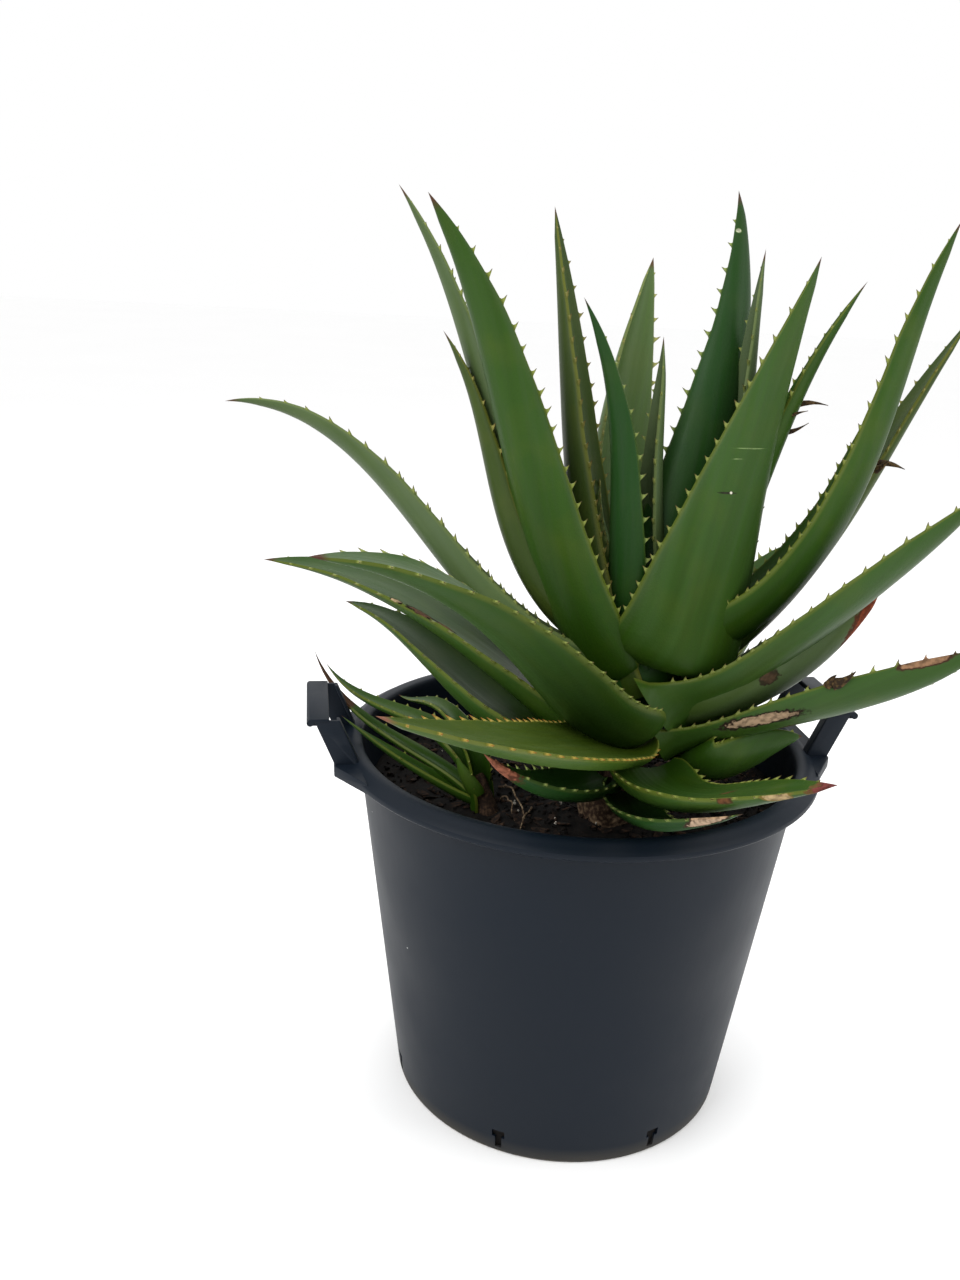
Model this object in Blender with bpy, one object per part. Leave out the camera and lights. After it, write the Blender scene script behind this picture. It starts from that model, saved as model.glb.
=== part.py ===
"""Potted candelabra aloe: a two-handled nursery pot, its soil, and an aloe with one offset.

Metres, +Z up, the origin at the centre of the pot's underside.  The front is -Y.
Every leaf is its own solid with its toothed margins.  A leaf is cut 0.4 mm clear of the stem and of
the leaves listed before it, so the clasping roots nest without touching.
"""
import math
from dataclasses import dataclass

import bmesh
import bpy
from mathutils import Matrix, Vector
from mathutils.bvhtree import BVHTree

MM = 0.001

# Pot, from its rim and base circles
POT_HEIGHT = 290 * MM
RIM_RADIUS = 183.5 * MM
WALL_TOP_RADIUS = 168.5 * MM
BASE_RADIUS = 132.5 * MM
WALL = 2.6 * MM
RIM_DEPTH = 13 * MM
RIM_INNER_RADIUS = 166 * MM
FLOOR = 4 * MM
BASE_BEVEL = 3 * MM
RIM_EASE = 2 * MM
RIM_ROOT = 4 * MM
POT_SIDES = 56

# Rolled rim: mm in from its outer radius and mm up from its underside
RIM_SECTION = ((3, 2.5), (0, 5), (1, 8), (6, 11.5), (10, 13))

# Drain notches through the lower corner of the wall
NOTCHES = 7
NOTCH_WIDTH = 10 * MM
NOTCH_LOW = 6 * MM
NOTCH_HEIGHT = 20 * MM
NOTCH_REACH = 24 * MM
NOTCH_START = 202.5
WALL_BREAK = NOTCH_HEIGHT + 3 * MM

# Handles: two slanted arms outside the rim that carry a level grip
HANDLE_AZIMUTH = 194.0
HANDLE_TOP = 322.5 * MM
HANDLE_HALF = 40 * MM
ARM_INNER_RADIUS = 171.3 * MM
ARM_SLOPE = 0.427
ARM_WIDTH = 18.2 * MM
ARM_THICK = 4 * MM
ARM_FOOT = 280 * MM
GRIP_OUTER_RADIUS = 206.5 * MM
GRIP_WIDTH = 14.5 * MM
GRIP_THICK = 5 * MM
GRIP_OVERHANG = 0.4 * MM
ARM_TOP = HANDLE_TOP - 0.5 * MM
LEDGE_OUTER_RADIUS = 188.5 * MM
LEDGE_INNER_RADIUS = 171 * MM
LEDGE_HALF = 42 * MM
WING_TIP_RADIUS = 166 * MM
WING_HALF = 74 * MM
LEDGE_LOW = POT_HEIGHT - RIM_DEPTH + 1.5 * MM
LEDGE_TOP = POT_HEIGHT - 3 * MM

# Soil and stems
SOIL_TOP = 247 * MM
FIT_GAP = 0.4 * MM
STEM_FOOT = Vector((24, -62, 245)) * MM
STEM_TOWARDS = Vector((52, -36, 360)) * MM
STEM_RADIUS = 20 * MM
STEM_TOP_RADIUS = 8 * MM
STEM_LENGTH = 128 * MM
STEM_BURIED = 90 * MM
OFFSET_FOOT = Vector((-63, -56, 247)) * MM
OFFSET_TOWARDS = Vector((-80, -50, 300)) * MM
OFFSET_RADIUS = 9 * MM
OFFSET_TOP_RADIUS = 5.4 * MM
OFFSET_LENGTH = 30 * MM
OFFSET_BURIED = 45 * MM

# Leaf section and margin
EDGE = 1.6 * MM
TOOTH_PITCH = 29 * MM
TOOTH_HEIGHT = 4.2 * MM
TOOTH_BASE = 4.5 * MM
TOOTH_HOOK = 2.5 * MM
FULL_TOOTH_WIDTH = 20 * MM
STATIONS = (0, 0.06, 0.13, 0.22, 0.33, 0.45, 0.57, 0.69, 0.80, 0.89, 0.96)
UPPER_LINES = (-0.55, 0.55)
UNDER_LINES = (0.68, 0.0, -0.68)
SPINE_STEPS = 60


@dataclass(frozen=True)
class Shoot:
    """A leafy stem: its foot at the soil and the point that it grows towards."""

    foot: Vector
    towards: Vector

    def axis(self):
        return (self.towards - self.foot).normalized()

    def turn(self):
        return Vector((0, 0, 1)).rotation_difference(self.axis()).to_matrix()

    def at(self, height):
        return self.foot + self.axis() * height


@dataclass(frozen=True)
class Leaf:
    """One leaf by its growth: angles in degrees, lengths in millimetres.

    azimuth turns round the shoot from +X, height is up the shoot to the root, rise is the angle
    above level at the root, the middle and the tip, width is across the root round the gutter,
    gutter is half the gutter's angle, roll twists the tip, swing turns it sideways, reach is from
    the shoot's axis to the root, root is the root's share of the width, and clasp is the gutter's
    half angle where the root wraps the shoot.  fullness is the thickness as a share of the width,
    grasp the share of the length that belongs to the root, taper how late the width runs out, and
    teeth the stretch of the length that carries teeth.
    """

    name: str
    azimuth: float
    height: float
    rise: tuple
    length: float
    width: float
    gutter: float = 45
    roll: float = 0
    swing: float = 0
    reach: float = 12
    root: float = 0.88
    clasp: float = 62
    fullness: float = 0.22
    grasp: float = 0.12
    taper: float = 1.7
    teeth: tuple = (0.12, 0.95)


MAIN = Shoot(STEM_FOOT, STEM_TOWARDS)
OFFSET = Shoot(OFFSET_FOOT, OFFSET_TOWARDS)

LEAVES = (
    Leaf("leaf_front_broad", -63, 126, (92, 88, 82), 298, 114, 14, 28, -4, 26, 0.55, 45,
         fullness=0.17, grasp=0.07, taper=1.1),
    Leaf("leaf_right_wide", -10, 91, (48, 54, 58), 267, 80, 33, 3, -29, 19, 1.55, 84,
         fullness=0.12, grasp=0.13, taper=3),
    Leaf("leaf_left_folded", 229, 76, (27, 17, -14), 308, 100, 16, -9, -7, 28, 0.75),
    Leaf("leaf_left_tall", 191, 110, (35, 57, 37), 359, 82, 56, 30, 14, 24, 0.6, 60, grasp=0.18),
    Leaf("leaf_right_long", -11, 69, (36, 35, 47), 229, 54, 31, -54, -21, 24, 1.68, 60,
         fullness=0.08, taper=2.7),
    Leaf("leaf_left_front", 251, 66, (4, 5, 7), 345, 66, 17, -7, -15, 30, 0.6, 72,
         fullness=0.18, grasp=0.07, taper=2.1),
    Leaf("leaf_right_low", -76, 56, (-6, 18, 22), 242, 69, 20, 43, 13, 31, 0.8, 62,
         fullness=0.17, grasp=0.11, taper=1.8),
    Leaf("leaf_right_lowest", -81, 35, (-9, 16, 26), 188, 45, 10, 17, 18, 27, 0.75, 61, fullness=0.16),
    Leaf("leaf_right_red_tip", -4, 96, (25, 50, 72), 172, 80, 44, -40, 0, 24, 0.9, 70,
         fullness=0.12, grasp=0.15, taper=1.6),
    Leaf("leaf_left_arch", 179, 116, (-14, 33, -23), 380, 64, 41, 12, -7),
    Leaf("leaf_centre_tall", -47, 100, (99, 96, 119), 382, 107, 51, 8, 3, 4, 0.85, 62,
         fullness=0.18, taper=1.4),
    Leaf("leaf_right_arch_top", 3, 148, (34, 83, 79), 360, 71, 48, -13, -20),
    Leaf("leaf_right_arch_low", 25, 123, (38, 70, 68), 360, 52, 40, -3, -7),
    Leaf("leaf_left_tall_back", 177, 124, (21, 54, 38), 390, 67, 41, 4, 3),
    Leaf("leaf_rear_left", 171, 96, (55, 66, 63), 365, 76, 43, -6, -9),
    Leaf("leaf_inner_dark", 208, 98, (60, 68, 36), 286, 44, 45, 3, 9),
    Leaf("leaf_left_thin", 182, 136, (-15, 54, 37), 285, 58, 48, 0, -3),
    Leaf("leaf_behind_centre", 16, 141, (79, 100, 97), 288, 46, 45, -3, -1),
    Leaf("leaf_right_slim", -1, 135, (79, 85, 68), 295, 48, 46, -2, 3),
    Leaf("leaf_left_open", 181, 61, (26, 14, -19), 290, 76, 14, -32, -11, 24),
    Leaf("leaf_left_low", 179, 61, (-24, 24, -10), 220, 76, 24, -27, -17, 26),
    Leaf("leaf_right_under", 3, 72, (-33, 38, 20), 94, 85, 40, -50, -5, 36, 0.61, 81, fullness=0.16),
    Leaf("leaf_left_under", 240, 40, (-12, 6, 23), 156, 44, 34, -7, -14, 26),
    Leaf("leaf_rear_pale", 136, 153, (27, 73, 77), 305, 77, 45, -13, -15, 12, 0.88, 62, fullness=0.2),
    Leaf("leaf_rear_small", 21, 147, (137, 108, 107), 218, 39, 48, 2, 3, 10, 0.88, 62, fullness=0.19),
    Leaf("leaf_rear_arch", 118, 105, (15, 40, 5), 300, 70, 45, 0, 0, 16),
    Leaf("leaf_rear_right", 62, 100, (15, 42, 10), 290, 70, 45, 0, 0, 16),
    Leaf("leaf_rear_low_left", 136, 66, (-4, 14, -10), 215, 70, 38, 0, 0, 24),
    Leaf("leaf_rear_low_right", 56, 72, (6, 25, 0), 230, 74, 38, 0, 0, 24),
    Leaf("leaf_rear_low", 98, 62, (2, 20, 0), 240, 72, 38, 0, 0, 26),
)

OFFSET_LEAVES = (
    Leaf("offset_leaf_long", 154, 12, (52, 37, 88), 180, 15, 50, 0, 2, 6, teeth=(0.5, 0.8)),
    Leaf("offset_leaf_upper", 147, 4, (117, 23, 64), 192, 24, 50, 0, 2, 6),
    Leaf("offset_leaf_lower", 176, 10, (38, 45, 51), 120, 17, 50, 0, 0, 6, teeth=(0.5, 0.9)),
    Leaf("offset_leaf_back", 126, 20, (148, 15, 12), 162, 18, 50, 0, 0, 6),
    Leaf("offset_leaf_sheath", 230, 16, (70, 75, 80), 34, 16, 60, 0, 0, 6, teeth=(0.5, 0.9)),
)


def clear_scene():
    for item in list(bpy.data.objects):
        bpy.data.objects.remove(item, do_unlink=True)


def material(name, colour, roughness):
    """A Principled material from an sRGB colour."""
    made = bpy.data.materials.get(name)
    if made:
        return made
    made = bpy.data.materials.new(name)
    made.use_nodes = True
    shader = made.node_tree.nodes["Principled BSDF"]
    linear = [(v / 255 / 12.92) if v <= 10 else ((v / 255 + 0.055) / 1.055) ** 2.4 for v in colour]
    shader.inputs["Base Color"].default_value = (*linear, 1)
    shader.inputs["Roughness"].default_value = roughness
    shader.inputs["Metallic"].default_value = 0
    return made


def finish(bm, name, finish_material):
    """Turn a bmesh into a named, smooth-shaded object with its faces pointing out."""
    bmesh.ops.triangulate(bm, faces=bm.faces[:])
    bmesh.ops.recalc_face_normals(bm, faces=bm.faces[:])
    mesh = bpy.data.meshes.new(name)
    bm.to_mesh(mesh)
    bm.free()
    mesh.materials.append(finish_material)
    mesh.shade_smooth()
    mesh.set_sharp_from_angle(angle=math.radians(35))
    made = bpy.data.objects.new(name, mesh)
    bpy.context.scene.collection.objects.link(made)
    return made


def is_closed(mesh):
    bm = bmesh.new()
    bm.from_mesh(mesh)
    closed = all(len(edge.link_faces) == 2 for edge in bm.edges)
    bm.free()
    return closed


def boolean(target, others, operation):
    """Join the others to the target or cut them from it, and keep the result as its mesh."""
    group = bpy.data.collections.new("operands")
    for other in others:
        group.objects.link(other)
    step = target.modifiers.new("boolean", "BOOLEAN")
    step.operation = operation
    step.operand_type = "COLLECTION"
    step.collection = group
    for solver in ("EXACT", "MANIFOLD"):
        step.solver = solver
        result = bpy.data.meshes.new_from_object(target.evaluated_get(bpy.context.evaluated_depsgraph_get()))
        if is_closed(result) and len(result.polygons):
            break
    target.data = result
    target.modifiers.clear()
    bpy.data.collections.remove(group)


def remove(items):
    for item in items:
        bpy.data.objects.remove(item, do_unlink=True)


def turned(profile, sides):
    """A closed solid of revolution about Z.  The profile runs from the axis back to the axis."""
    bm = bmesh.new()
    rings = []
    for radius, z in profile:
        if radius == 0:
            rings.append([bm.verts.new((0, 0, z))])
            continue
        angles = [2 * math.pi * k / sides for k in range(sides)]
        rings.append([bm.verts.new((radius * math.cos(a), radius * math.sin(a), z)) for a in angles])
    for low, high in zip(rings, rings[1:]):
        for k in range(sides):
            after = k + 1
            corners = (low[k % len(low)], low[after % len(low)], high[after % len(high)], high[k % len(high)])
            bm.faces.new(list(dict.fromkeys(corners)))
    return bm


def wall_radius(z):
    """Outer radius of the pot's tapered wall at a height."""
    return BASE_RADIUS + (WALL_TOP_RADIUS - BASE_RADIUS) * z / (POT_HEIGHT - RIM_DEPTH)


def pot_profile():
    """The pot's section: underside, wall, rolled rim, inside wall and floor."""
    under_rim = POT_HEIGHT - RIM_DEPTH
    return (
        (0, 0),
        (BASE_RADIUS - BASE_BEVEL, 0),
        (wall_radius(BASE_BEVEL), BASE_BEVEL),
        (wall_radius(WALL_BREAK), WALL_BREAK),
        (wall_radius(under_rim), under_rim),
        *((RIM_RADIUS - inset * MM, under_rim + up * MM) for inset, up in RIM_SECTION),
        (RIM_INNER_RADIUS + RIM_EASE, POT_HEIGHT),
        (RIM_INNER_RADIUS, POT_HEIGHT - RIM_EASE),
        (wall_radius(under_rim) - WALL, under_rim - RIM_ROOT),
        (wall_radius(WALL_BREAK) - WALL, WALL_BREAK),
        (wall_radius(FLOOR) - WALL, FLOOR),
        (0, FLOOR),
    )


def drain_cutters():
    """Upright slots through the lower corner of the wall, evenly round the base."""
    cutters = []
    for k in range(NOTCHES):
        turn = Matrix.Rotation(math.radians(NOTCH_START + 360 * k / NOTCHES), 4, "Z")
        bm = bmesh.new()
        bmesh.ops.create_cube(bm, size=1)
        bmesh.ops.scale(bm, vec=(NOTCH_REACH, NOTCH_WIDTH, NOTCH_HEIGHT - NOTCH_LOW), verts=bm.verts)
        bmesh.ops.translate(bm, vec=(BASE_RADIUS, 0, (NOTCH_HEIGHT + NOTCH_LOW) / 2), verts=bm.verts)
        bm.transform(turn)
        cutters.append(finish(bm, "drain_cutter", POT_PLASTIC))
    return cutters


def sheared_box(inner, outer, low, high, z_low, z_high, slope=0.0):
    """A box from radius inner to outer, low to high across, that leans out by slope as it rises."""
    bm = bmesh.new()
    bmesh.ops.create_cube(bm, size=1)
    for v in bm.verts:
        z = z_low + (v.co.z + 0.5) * (z_high - z_low)
        out = inner + (v.co.x + 0.5) * (outer - inner) + slope * (z - POT_HEIGHT)
        v.co = (out, low + (v.co.y + 0.5) * (high - low), z)
    return bm


def prism(outline, z_low, z_high):
    """An upright prism over an outline of (radius, across) corners."""
    bm = bmesh.new()
    low, high = ([bm.verts.new((x, y, z)) for x, y in outline] for z in (z_low, z_high))
    bm.faces.new(low[::-1])
    bm.faces.new(high)
    for k in range(len(outline)):
        bm.faces.new((low[k - 1], low[k], high[k], high[k - 1]))
    return bm


def handle_pieces(azimuth):
    """Two arms, the grip between their tops and the ledge that ties their feet to the rim."""
    turn = Matrix.Rotation(math.radians(azimuth), 4, "Z")
    shapes = []
    for side in (-1, 1):
        low, high = sorted((side * HANDLE_HALF, side * (HANDLE_HALF - ARM_THICK)))
        shapes.append(sheared_box(ARM_INNER_RADIUS, ARM_INNER_RADIUS + ARM_WIDTH, low, high,
                                  ARM_FOOT, ARM_TOP, ARM_SLOPE))
    grip_half = HANDLE_HALF + GRIP_OVERHANG
    shapes.append(sheared_box(GRIP_OUTER_RADIUS - GRIP_WIDTH, GRIP_OUTER_RADIUS, -grip_half, grip_half,
                              HANDLE_TOP - GRIP_THICK, HANDLE_TOP))
    wing = ((LEDGE_INNER_RADIUS, LEDGE_HALF), (WING_TIP_RADIUS, WING_HALF), (LEDGE_OUTER_RADIUS, LEDGE_HALF))
    shapes.append(prism([(x, -y) for x, y in wing] + list(wing[::-1]), LEDGE_LOW, LEDGE_TOP))
    made = []
    for bm in shapes:
        bm.transform(turn)
        made.append(finish(bm, "handle_piece", POT_PLASTIC))
    return made


def make_pot():
    """The pot, one moulding with its two handles."""
    pot = finish(turned(pot_profile(), POT_SIDES), "pot", POT_PLASTIC)
    handles = handle_pieces(HANDLE_AZIMUTH) + handle_pieces(HANDLE_AZIMUTH - 180)
    boolean(pot, handles, "UNION")
    cutters = drain_cutters()
    boolean(pot, cutters, "DIFFERENCE")
    remove(handles + cutters)
    return pot


def stem_mesh(shoot, foot_radius, top_radius, length, buried, sides=16, steps=8):
    """A tapered round stem along its shoot, closed at both ends."""
    bm = bmesh.new()
    turn = shoot.turn()
    turns = [2 * math.pi * k / sides for k in range(sides)]
    spokes = [Vector((math.cos(angle), math.sin(angle), 0)) for angle in turns]
    rings = []
    for step in range(steps + 1):
        height = -buried + (length + buried) * step / steps
        share = max(0.0, height / length)
        radius = foot_radius + (top_radius - foot_radius) * share
        rings.append([bm.verts.new(shoot.at(height) + turn @ (spoke * radius)) for spoke in spokes])
    for low, high in zip(rings, rings[1:]):
        for k in range(sides):
            bm.faces.new((low[k], low[(k + 1) % sides], high[(k + 1) % sides], high[k]))
    bm.faces.new(rings[0][::-1])
    bm.faces.new(rings[-1])
    return bm


def make_soil(stems):
    """The soil fills the pot to below its rim, with a plain hole for each stem."""
    clear = WALL + FIT_GAP
    bottom = FLOOR + FIT_GAP
    profile = ((0, bottom), (wall_radius(bottom) - clear, bottom), (wall_radius(SOIL_TOP) - clear, SOIL_TOP),
               (0, SOIL_TOP))
    soil = finish(turned(profile, POT_SIDES), "soil", SOIL_MIX)
    holes = [grown_copy(stem) for stem in stems]
    boolean(soil, holes, "DIFFERENCE")
    remove(holes)
    return soil


class Blade:
    """The surface of one leaf: a spine that bends with its rises, and a gutter-shaped section."""

    def __init__(self, leaf, shoot):
        self.leaf = leaf
        self.turn = shoot.turn()
        outward = Vector((math.cos(math.radians(leaf.azimuth)), math.sin(math.radians(leaf.azimuth)), 0))
        place = shoot.at(leaf.height * MM) + self.turn @ (outward * leaf.reach * MM)
        step = leaf.length * MM / SPINE_STEPS
        self.places = [place]
        for k in range(SPINE_STEPS):
            place = place + self.direction((k + 0.5) / SPINE_STEPS) * step
            self.places.append(place)

    def angles(self, s):
        """Rise and azimuth at a share s of the length, in radians."""
        root, middle, tip = self.leaf.rise
        bend = 2 * (root + tip - 2 * middle)
        rise = bend * s * s + (tip - root - bend) * s + root
        return math.radians(rise), math.radians(self.leaf.azimuth + self.leaf.swing * s * s)

    def direction(self, s):
        rise, azimuth = self.angles(s)
        level = math.cos(rise)
        return self.turn @ Vector((level * math.cos(azimuth), level * math.sin(azimuth), math.sin(rise)))

    def frame(self, s):
        """Place on the spine, and the unit vectors across the leaf and towards its upper face."""
        whole = min(int(s * SPINE_STEPS), SPINE_STEPS - 1)
        place = self.places[whole].lerp(self.places[whole + 1], s * SPINE_STEPS - whole)
        azimuth = self.angles(s)[1]
        across = self.turn @ Vector((-math.sin(azimuth), math.cos(azimuth), 0))
        along = self.direction(s)
        roll = Matrix.Rotation(math.radians(self.leaf.roll * s), 3, along)
        return place, roll @ across, roll @ along.cross(across)

    def width(self, s):
        """Width round the gutter: it swells out of a narrower root and tapers to the tip."""
        leaf = self.leaf
        swell = math.sqrt(1 - (1 - min(s / leaf.grasp, 1)) ** 2)
        return leaf.width * MM * (1 - s ** leaf.taper) * (leaf.root + (1 - leaf.root) * swell)

    def half_angle(self, s):
        wrap = math.exp(-(s / self.leaf.grasp) ** 2)
        return math.radians(self.leaf.gutter + (self.leaf.clasp - self.leaf.gutter) * wrap)

    def at(self, s, u, depth):
        """A point at u from -1 to 1 across, depth 0 on the upper face and 1 on the under face."""
        place, across, up = self.frame(s)
        angle = self.half_angle(s)
        radius = self.width(s) / 2 / angle
        thick = depth * (self.leaf.fullness * self.width(s) * (1 - u * u) ** 0.7 + EDGE)
        out = radius + thick
        return place + across * (out * math.sin(u * angle)) + up * (radius - out * math.cos(u * angle))

    def outward(self, s, side):
        """The direction that a tooth on one margin points in."""
        _, across, up = self.frame(s)
        angle = self.half_angle(s)
        return (across * side * math.cos(angle) + up * math.sin(angle)).normalized()

    def teeth(self, side):
        """Shares of the length at which the teeth of one margin start, point and end."""
        leaf = self.leaf
        first, last = leaf.teeth
        count = max(2, round((last - first) * leaf.length * MM / TOOTH_PITCH))
        shift = 0.3 if side > 0 else 0.7
        half = TOOTH_BASE / 2 / (leaf.length * MM)
        places = [first + (last - first) * (k + shift) / count for k in range(count)]
        return [(s - half, s, s + half) for s in places]

    def tooth_tip(self, s, side):
        """The point of a tooth, out from the margin and hooked to the leaf's tip."""
        size = min(1, self.width(s) / FULL_TOOTH_WIDTH)
        reach = self.outward(s, side) * TOOTH_HEIGHT + self.direction(s) * TOOTH_HOOK
        return self.at(s, side, 0.5) + reach * size


def strip(bm, first, second):
    """Fill between two lines of (share, vertex) pairs that both end at the same tip vertex."""
    i = j = 0
    while i < len(first) - 1 or j < len(second) - 1:
        step_first = j == len(second) - 1 or (i < len(first) - 1 and first[i + 1][0] <= second[j + 1][0])
        if step_first:
            corners = (first[i][1], first[i + 1][1], second[j][1])
            i += 1
        else:
            corners = (first[i][1], second[j + 1][1], second[j][1])
            j += 1
        if len(set(corners)) == 3:
            bm.faces.new(corners)


def margin(bm, blade, side, tip):
    """One toothed edge: its upper and lower lines, and the faces and teeth between them."""
    teeth = blade.teeth(side)
    first, last = teeth[0][0], teeth[-1][2]
    plain = [s for s in STATIONS if s < first - 0.02 or s > last + 0.02]
    shares = sorted(plain + [s for start, _, end in teeth for s in (start, end)])
    points = {start: point for start, point, _ in teeth}
    lines = [[(s, bm.verts.new(blade.at(s, side, depth))) for s in shares] for depth in (0, 1)]
    high, low = ([v for _, v in one] + [tip[1]] for one in lines)
    for k, s in enumerate(shares):
        if s in points:
            peak = bm.verts.new(blade.tooth_tip(points[s], side))
            ring = (high[k], high[k + 1], low[k + 1], low[k])
            for j in range(4):
                bm.faces.new((ring[j], ring[(j + 1) % 4], peak))
        else:
            bm.faces.new(list(dict.fromkeys((high[k], high[k + 1], low[k + 1], low[k]))))
    return lines[0] + [tip], lines[1] + [tip]


def leaf_mesh(blade):
    """A closed leaf: its upper face, one toothed margin, its under face and the other margin."""
    bm = bmesh.new()
    tip = (1.0, bm.verts.new(blade.at(1, 0, 0)))

    def line(u, depth):
        return [(s, bm.verts.new(blade.at(s, u, depth))) for s in STATIONS] + [tip]

    near_high, near_low = margin(bm, blade, -1, tip)
    far_high, far_low = margin(bm, blade, 1, tip)
    upper = [near_high] + [line(u, 0) for u in UPPER_LINES] + [far_high]
    under = [far_low] + [line(u, 1) for u in UNDER_LINES] + [near_low]
    for face in (upper, under):
        for first, second in zip(face, face[1:]):
            strip(bm, first, second)
    bm.faces.new([one[0][1] for one in upper + under])
    return bm


def grown_copy(item):
    """A cutter: the same mesh with its faces moved out by the fit gap."""
    bm = bmesh.new()
    bm.from_mesh(item.data)
    bm.normal_update()
    moves = [v.normal * FIT_GAP * min(v.calc_shell_factor(), 2.5) for v in bm.verts]
    for v, move in zip(bm.verts, moves):
        v.co += move
    mesh = bpy.data.meshes.new(item.name + "_cutter")
    bm.to_mesh(mesh)
    bm.free()
    made = bpy.data.objects.new(mesh.name, mesh)
    made.hide_render = True
    made.display_type = "WIRE"
    bpy.context.scene.collection.objects.link(made)
    return made


def tree(item):
    bm = bmesh.new()
    bm.from_mesh(item.data)
    made = BVHTree.FromBMesh(bm)
    bm.free()
    return made


def keep_largest(item):
    """Drop the loose scraps that a cut leaves, so that one body stays."""
    bm = bmesh.new()
    bm.from_mesh(item.data)
    bmesh.ops.dissolve_limit(bm, angle_limit=math.radians(0.4), verts=bm.verts[:], edges=bm.edges[:])
    bmesh.ops.delete(bm, geom=[edge for edge in bm.edges if not edge.link_faces], context="EDGES")
    left = set(bm.verts)
    bodies = []
    while left:
        queue = [left.pop()]
        body = set(queue)
        while queue:
            near = {v for edge in queue.pop().link_edges for v in edge.verts} & left
            left -= near
            body |= near
            queue += near
        bodies.append(body)
    bodies.sort(key=body_size, reverse=True)
    for body in bodies[1:]:
        bmesh.ops.delete(bm, geom=list(body), context="VERTS")
    bmesh.ops.triangulate(bm, faces=bm.faces[:])
    bm.to_mesh(item.data)
    bm.free()


def body_size(body):
    """The diagonal of a body's box."""
    low = Vector([min(v.co[k] for v in body) for k in range(3)])
    high = Vector([max(v.co[k] for v in body) for k in range(3)])
    return (high - low).length


def carve(item, cutters):
    """Cut every grown neighbour that meets the item out of it."""
    own = tree(item)
    meeting = [cutter for cutter, cutter_tree in cutters if own.overlap(cutter_tree)]
    for cutter in meeting:
        boolean(item, [cutter], "DIFFERENCE")
    if meeting:
        keep_largest(item)


def make_leaves(leaves, shoot, cutters):
    """Each leaf in turn, cut clear of all that stands before it."""
    made = []
    for leaf in leaves:
        item = finish(leaf_mesh(Blade(leaf, shoot)), leaf.name, LEAF_SKIN)
        cutter = grown_copy(item)
        carve(item, cutters)
        cutters.append((cutter, tree(cutter)))
        made.append(item)
    return made


clear_scene()
POT_PLASTIC = material("black_moulded_plastic", (44, 50, 55), 0.45)
SOIL_MIX = material("potting_soil", (46, 36, 30), 0.95)
STEM_BARK = material("dry_stem_bark", (96, 74, 58), 0.9)
LEAF_SKIN = material("aloe_leaf_skin", (78, 108, 58), 0.5)

make_pot()
main_shape = stem_mesh(MAIN, STEM_RADIUS, STEM_TOP_RADIUS, STEM_LENGTH, STEM_BURIED)
main_stem = finish(main_shape, "stem", STEM_BARK)
offset_shape = stem_mesh(OFFSET, OFFSET_RADIUS, OFFSET_TOP_RADIUS, OFFSET_LENGTH, OFFSET_BURIED, 12, 4)
offset_stem = finish(offset_shape, "offset_stem", STEM_BARK)
soil = make_soil((main_stem, offset_stem))
pot_cutter = grown_copy(bpy.data.objects["pot"])
standing = [grown_copy(soil), grown_copy(main_stem), grown_copy(offset_stem), pot_cutter]
all_cutters = [(cutter, tree(cutter)) for cutter in standing]
make_leaves(LEAVES, MAIN, all_cutters)
make_leaves(OFFSET_LEAVES, OFFSET, all_cutters)
remove([cutter for cutter, _ in all_cutters])
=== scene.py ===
"""Potted candelabra aloe: the looks of the plant, its soil and its nursery pot.

Every leaf is one smooth mesh with its hooked teeth drawn out of the margins.  Lengths are metres,
+Z is up, and every piece stands where its CAD node stands.
"""
import logging
import random
from collections.abc import Iterable, Sequence
from dataclasses import dataclass, field
from enum import Enum
from math import cos, exp, pi, radians, sin, sqrt

import bmesh
import bpy
from bmesh.types import BMEdge, BMesh, BMFace, BMVert
from bpy.types import Material, Node, NodeSocket, Object
from mathutils import Matrix, Vector, noise


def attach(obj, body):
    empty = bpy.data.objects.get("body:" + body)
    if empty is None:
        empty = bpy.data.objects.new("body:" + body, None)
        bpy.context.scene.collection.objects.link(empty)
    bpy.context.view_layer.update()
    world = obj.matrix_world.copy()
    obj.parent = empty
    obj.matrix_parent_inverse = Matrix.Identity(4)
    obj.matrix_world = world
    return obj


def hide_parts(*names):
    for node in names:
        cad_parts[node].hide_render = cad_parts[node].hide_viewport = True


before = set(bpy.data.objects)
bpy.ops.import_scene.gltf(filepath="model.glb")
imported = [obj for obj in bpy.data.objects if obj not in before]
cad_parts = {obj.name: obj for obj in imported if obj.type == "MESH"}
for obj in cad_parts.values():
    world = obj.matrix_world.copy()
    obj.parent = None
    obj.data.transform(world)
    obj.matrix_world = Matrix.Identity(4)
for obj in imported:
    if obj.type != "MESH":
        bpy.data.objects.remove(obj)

log = logging.getLogger("aloe")

MM = 0.001
BODY = "root"
MERGE = 1e-6


# Finishes


def linear(code: str) -> tuple[float, float, float, float]:
    """Turn an sRGB hex colour into linear red, green, blue and alpha.

    Args:
        code: six hex digits
    Returns:
        the colour as a shader wants it
    """
    shares = [int(code[k:k + 2], 16) / 255 for k in (0, 2, 4)]
    return (*[v / 12.92 if v <= 0.04045 else ((v + 0.055) / 1.055) ** 2.4 for v in shares], 1.0)


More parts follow.
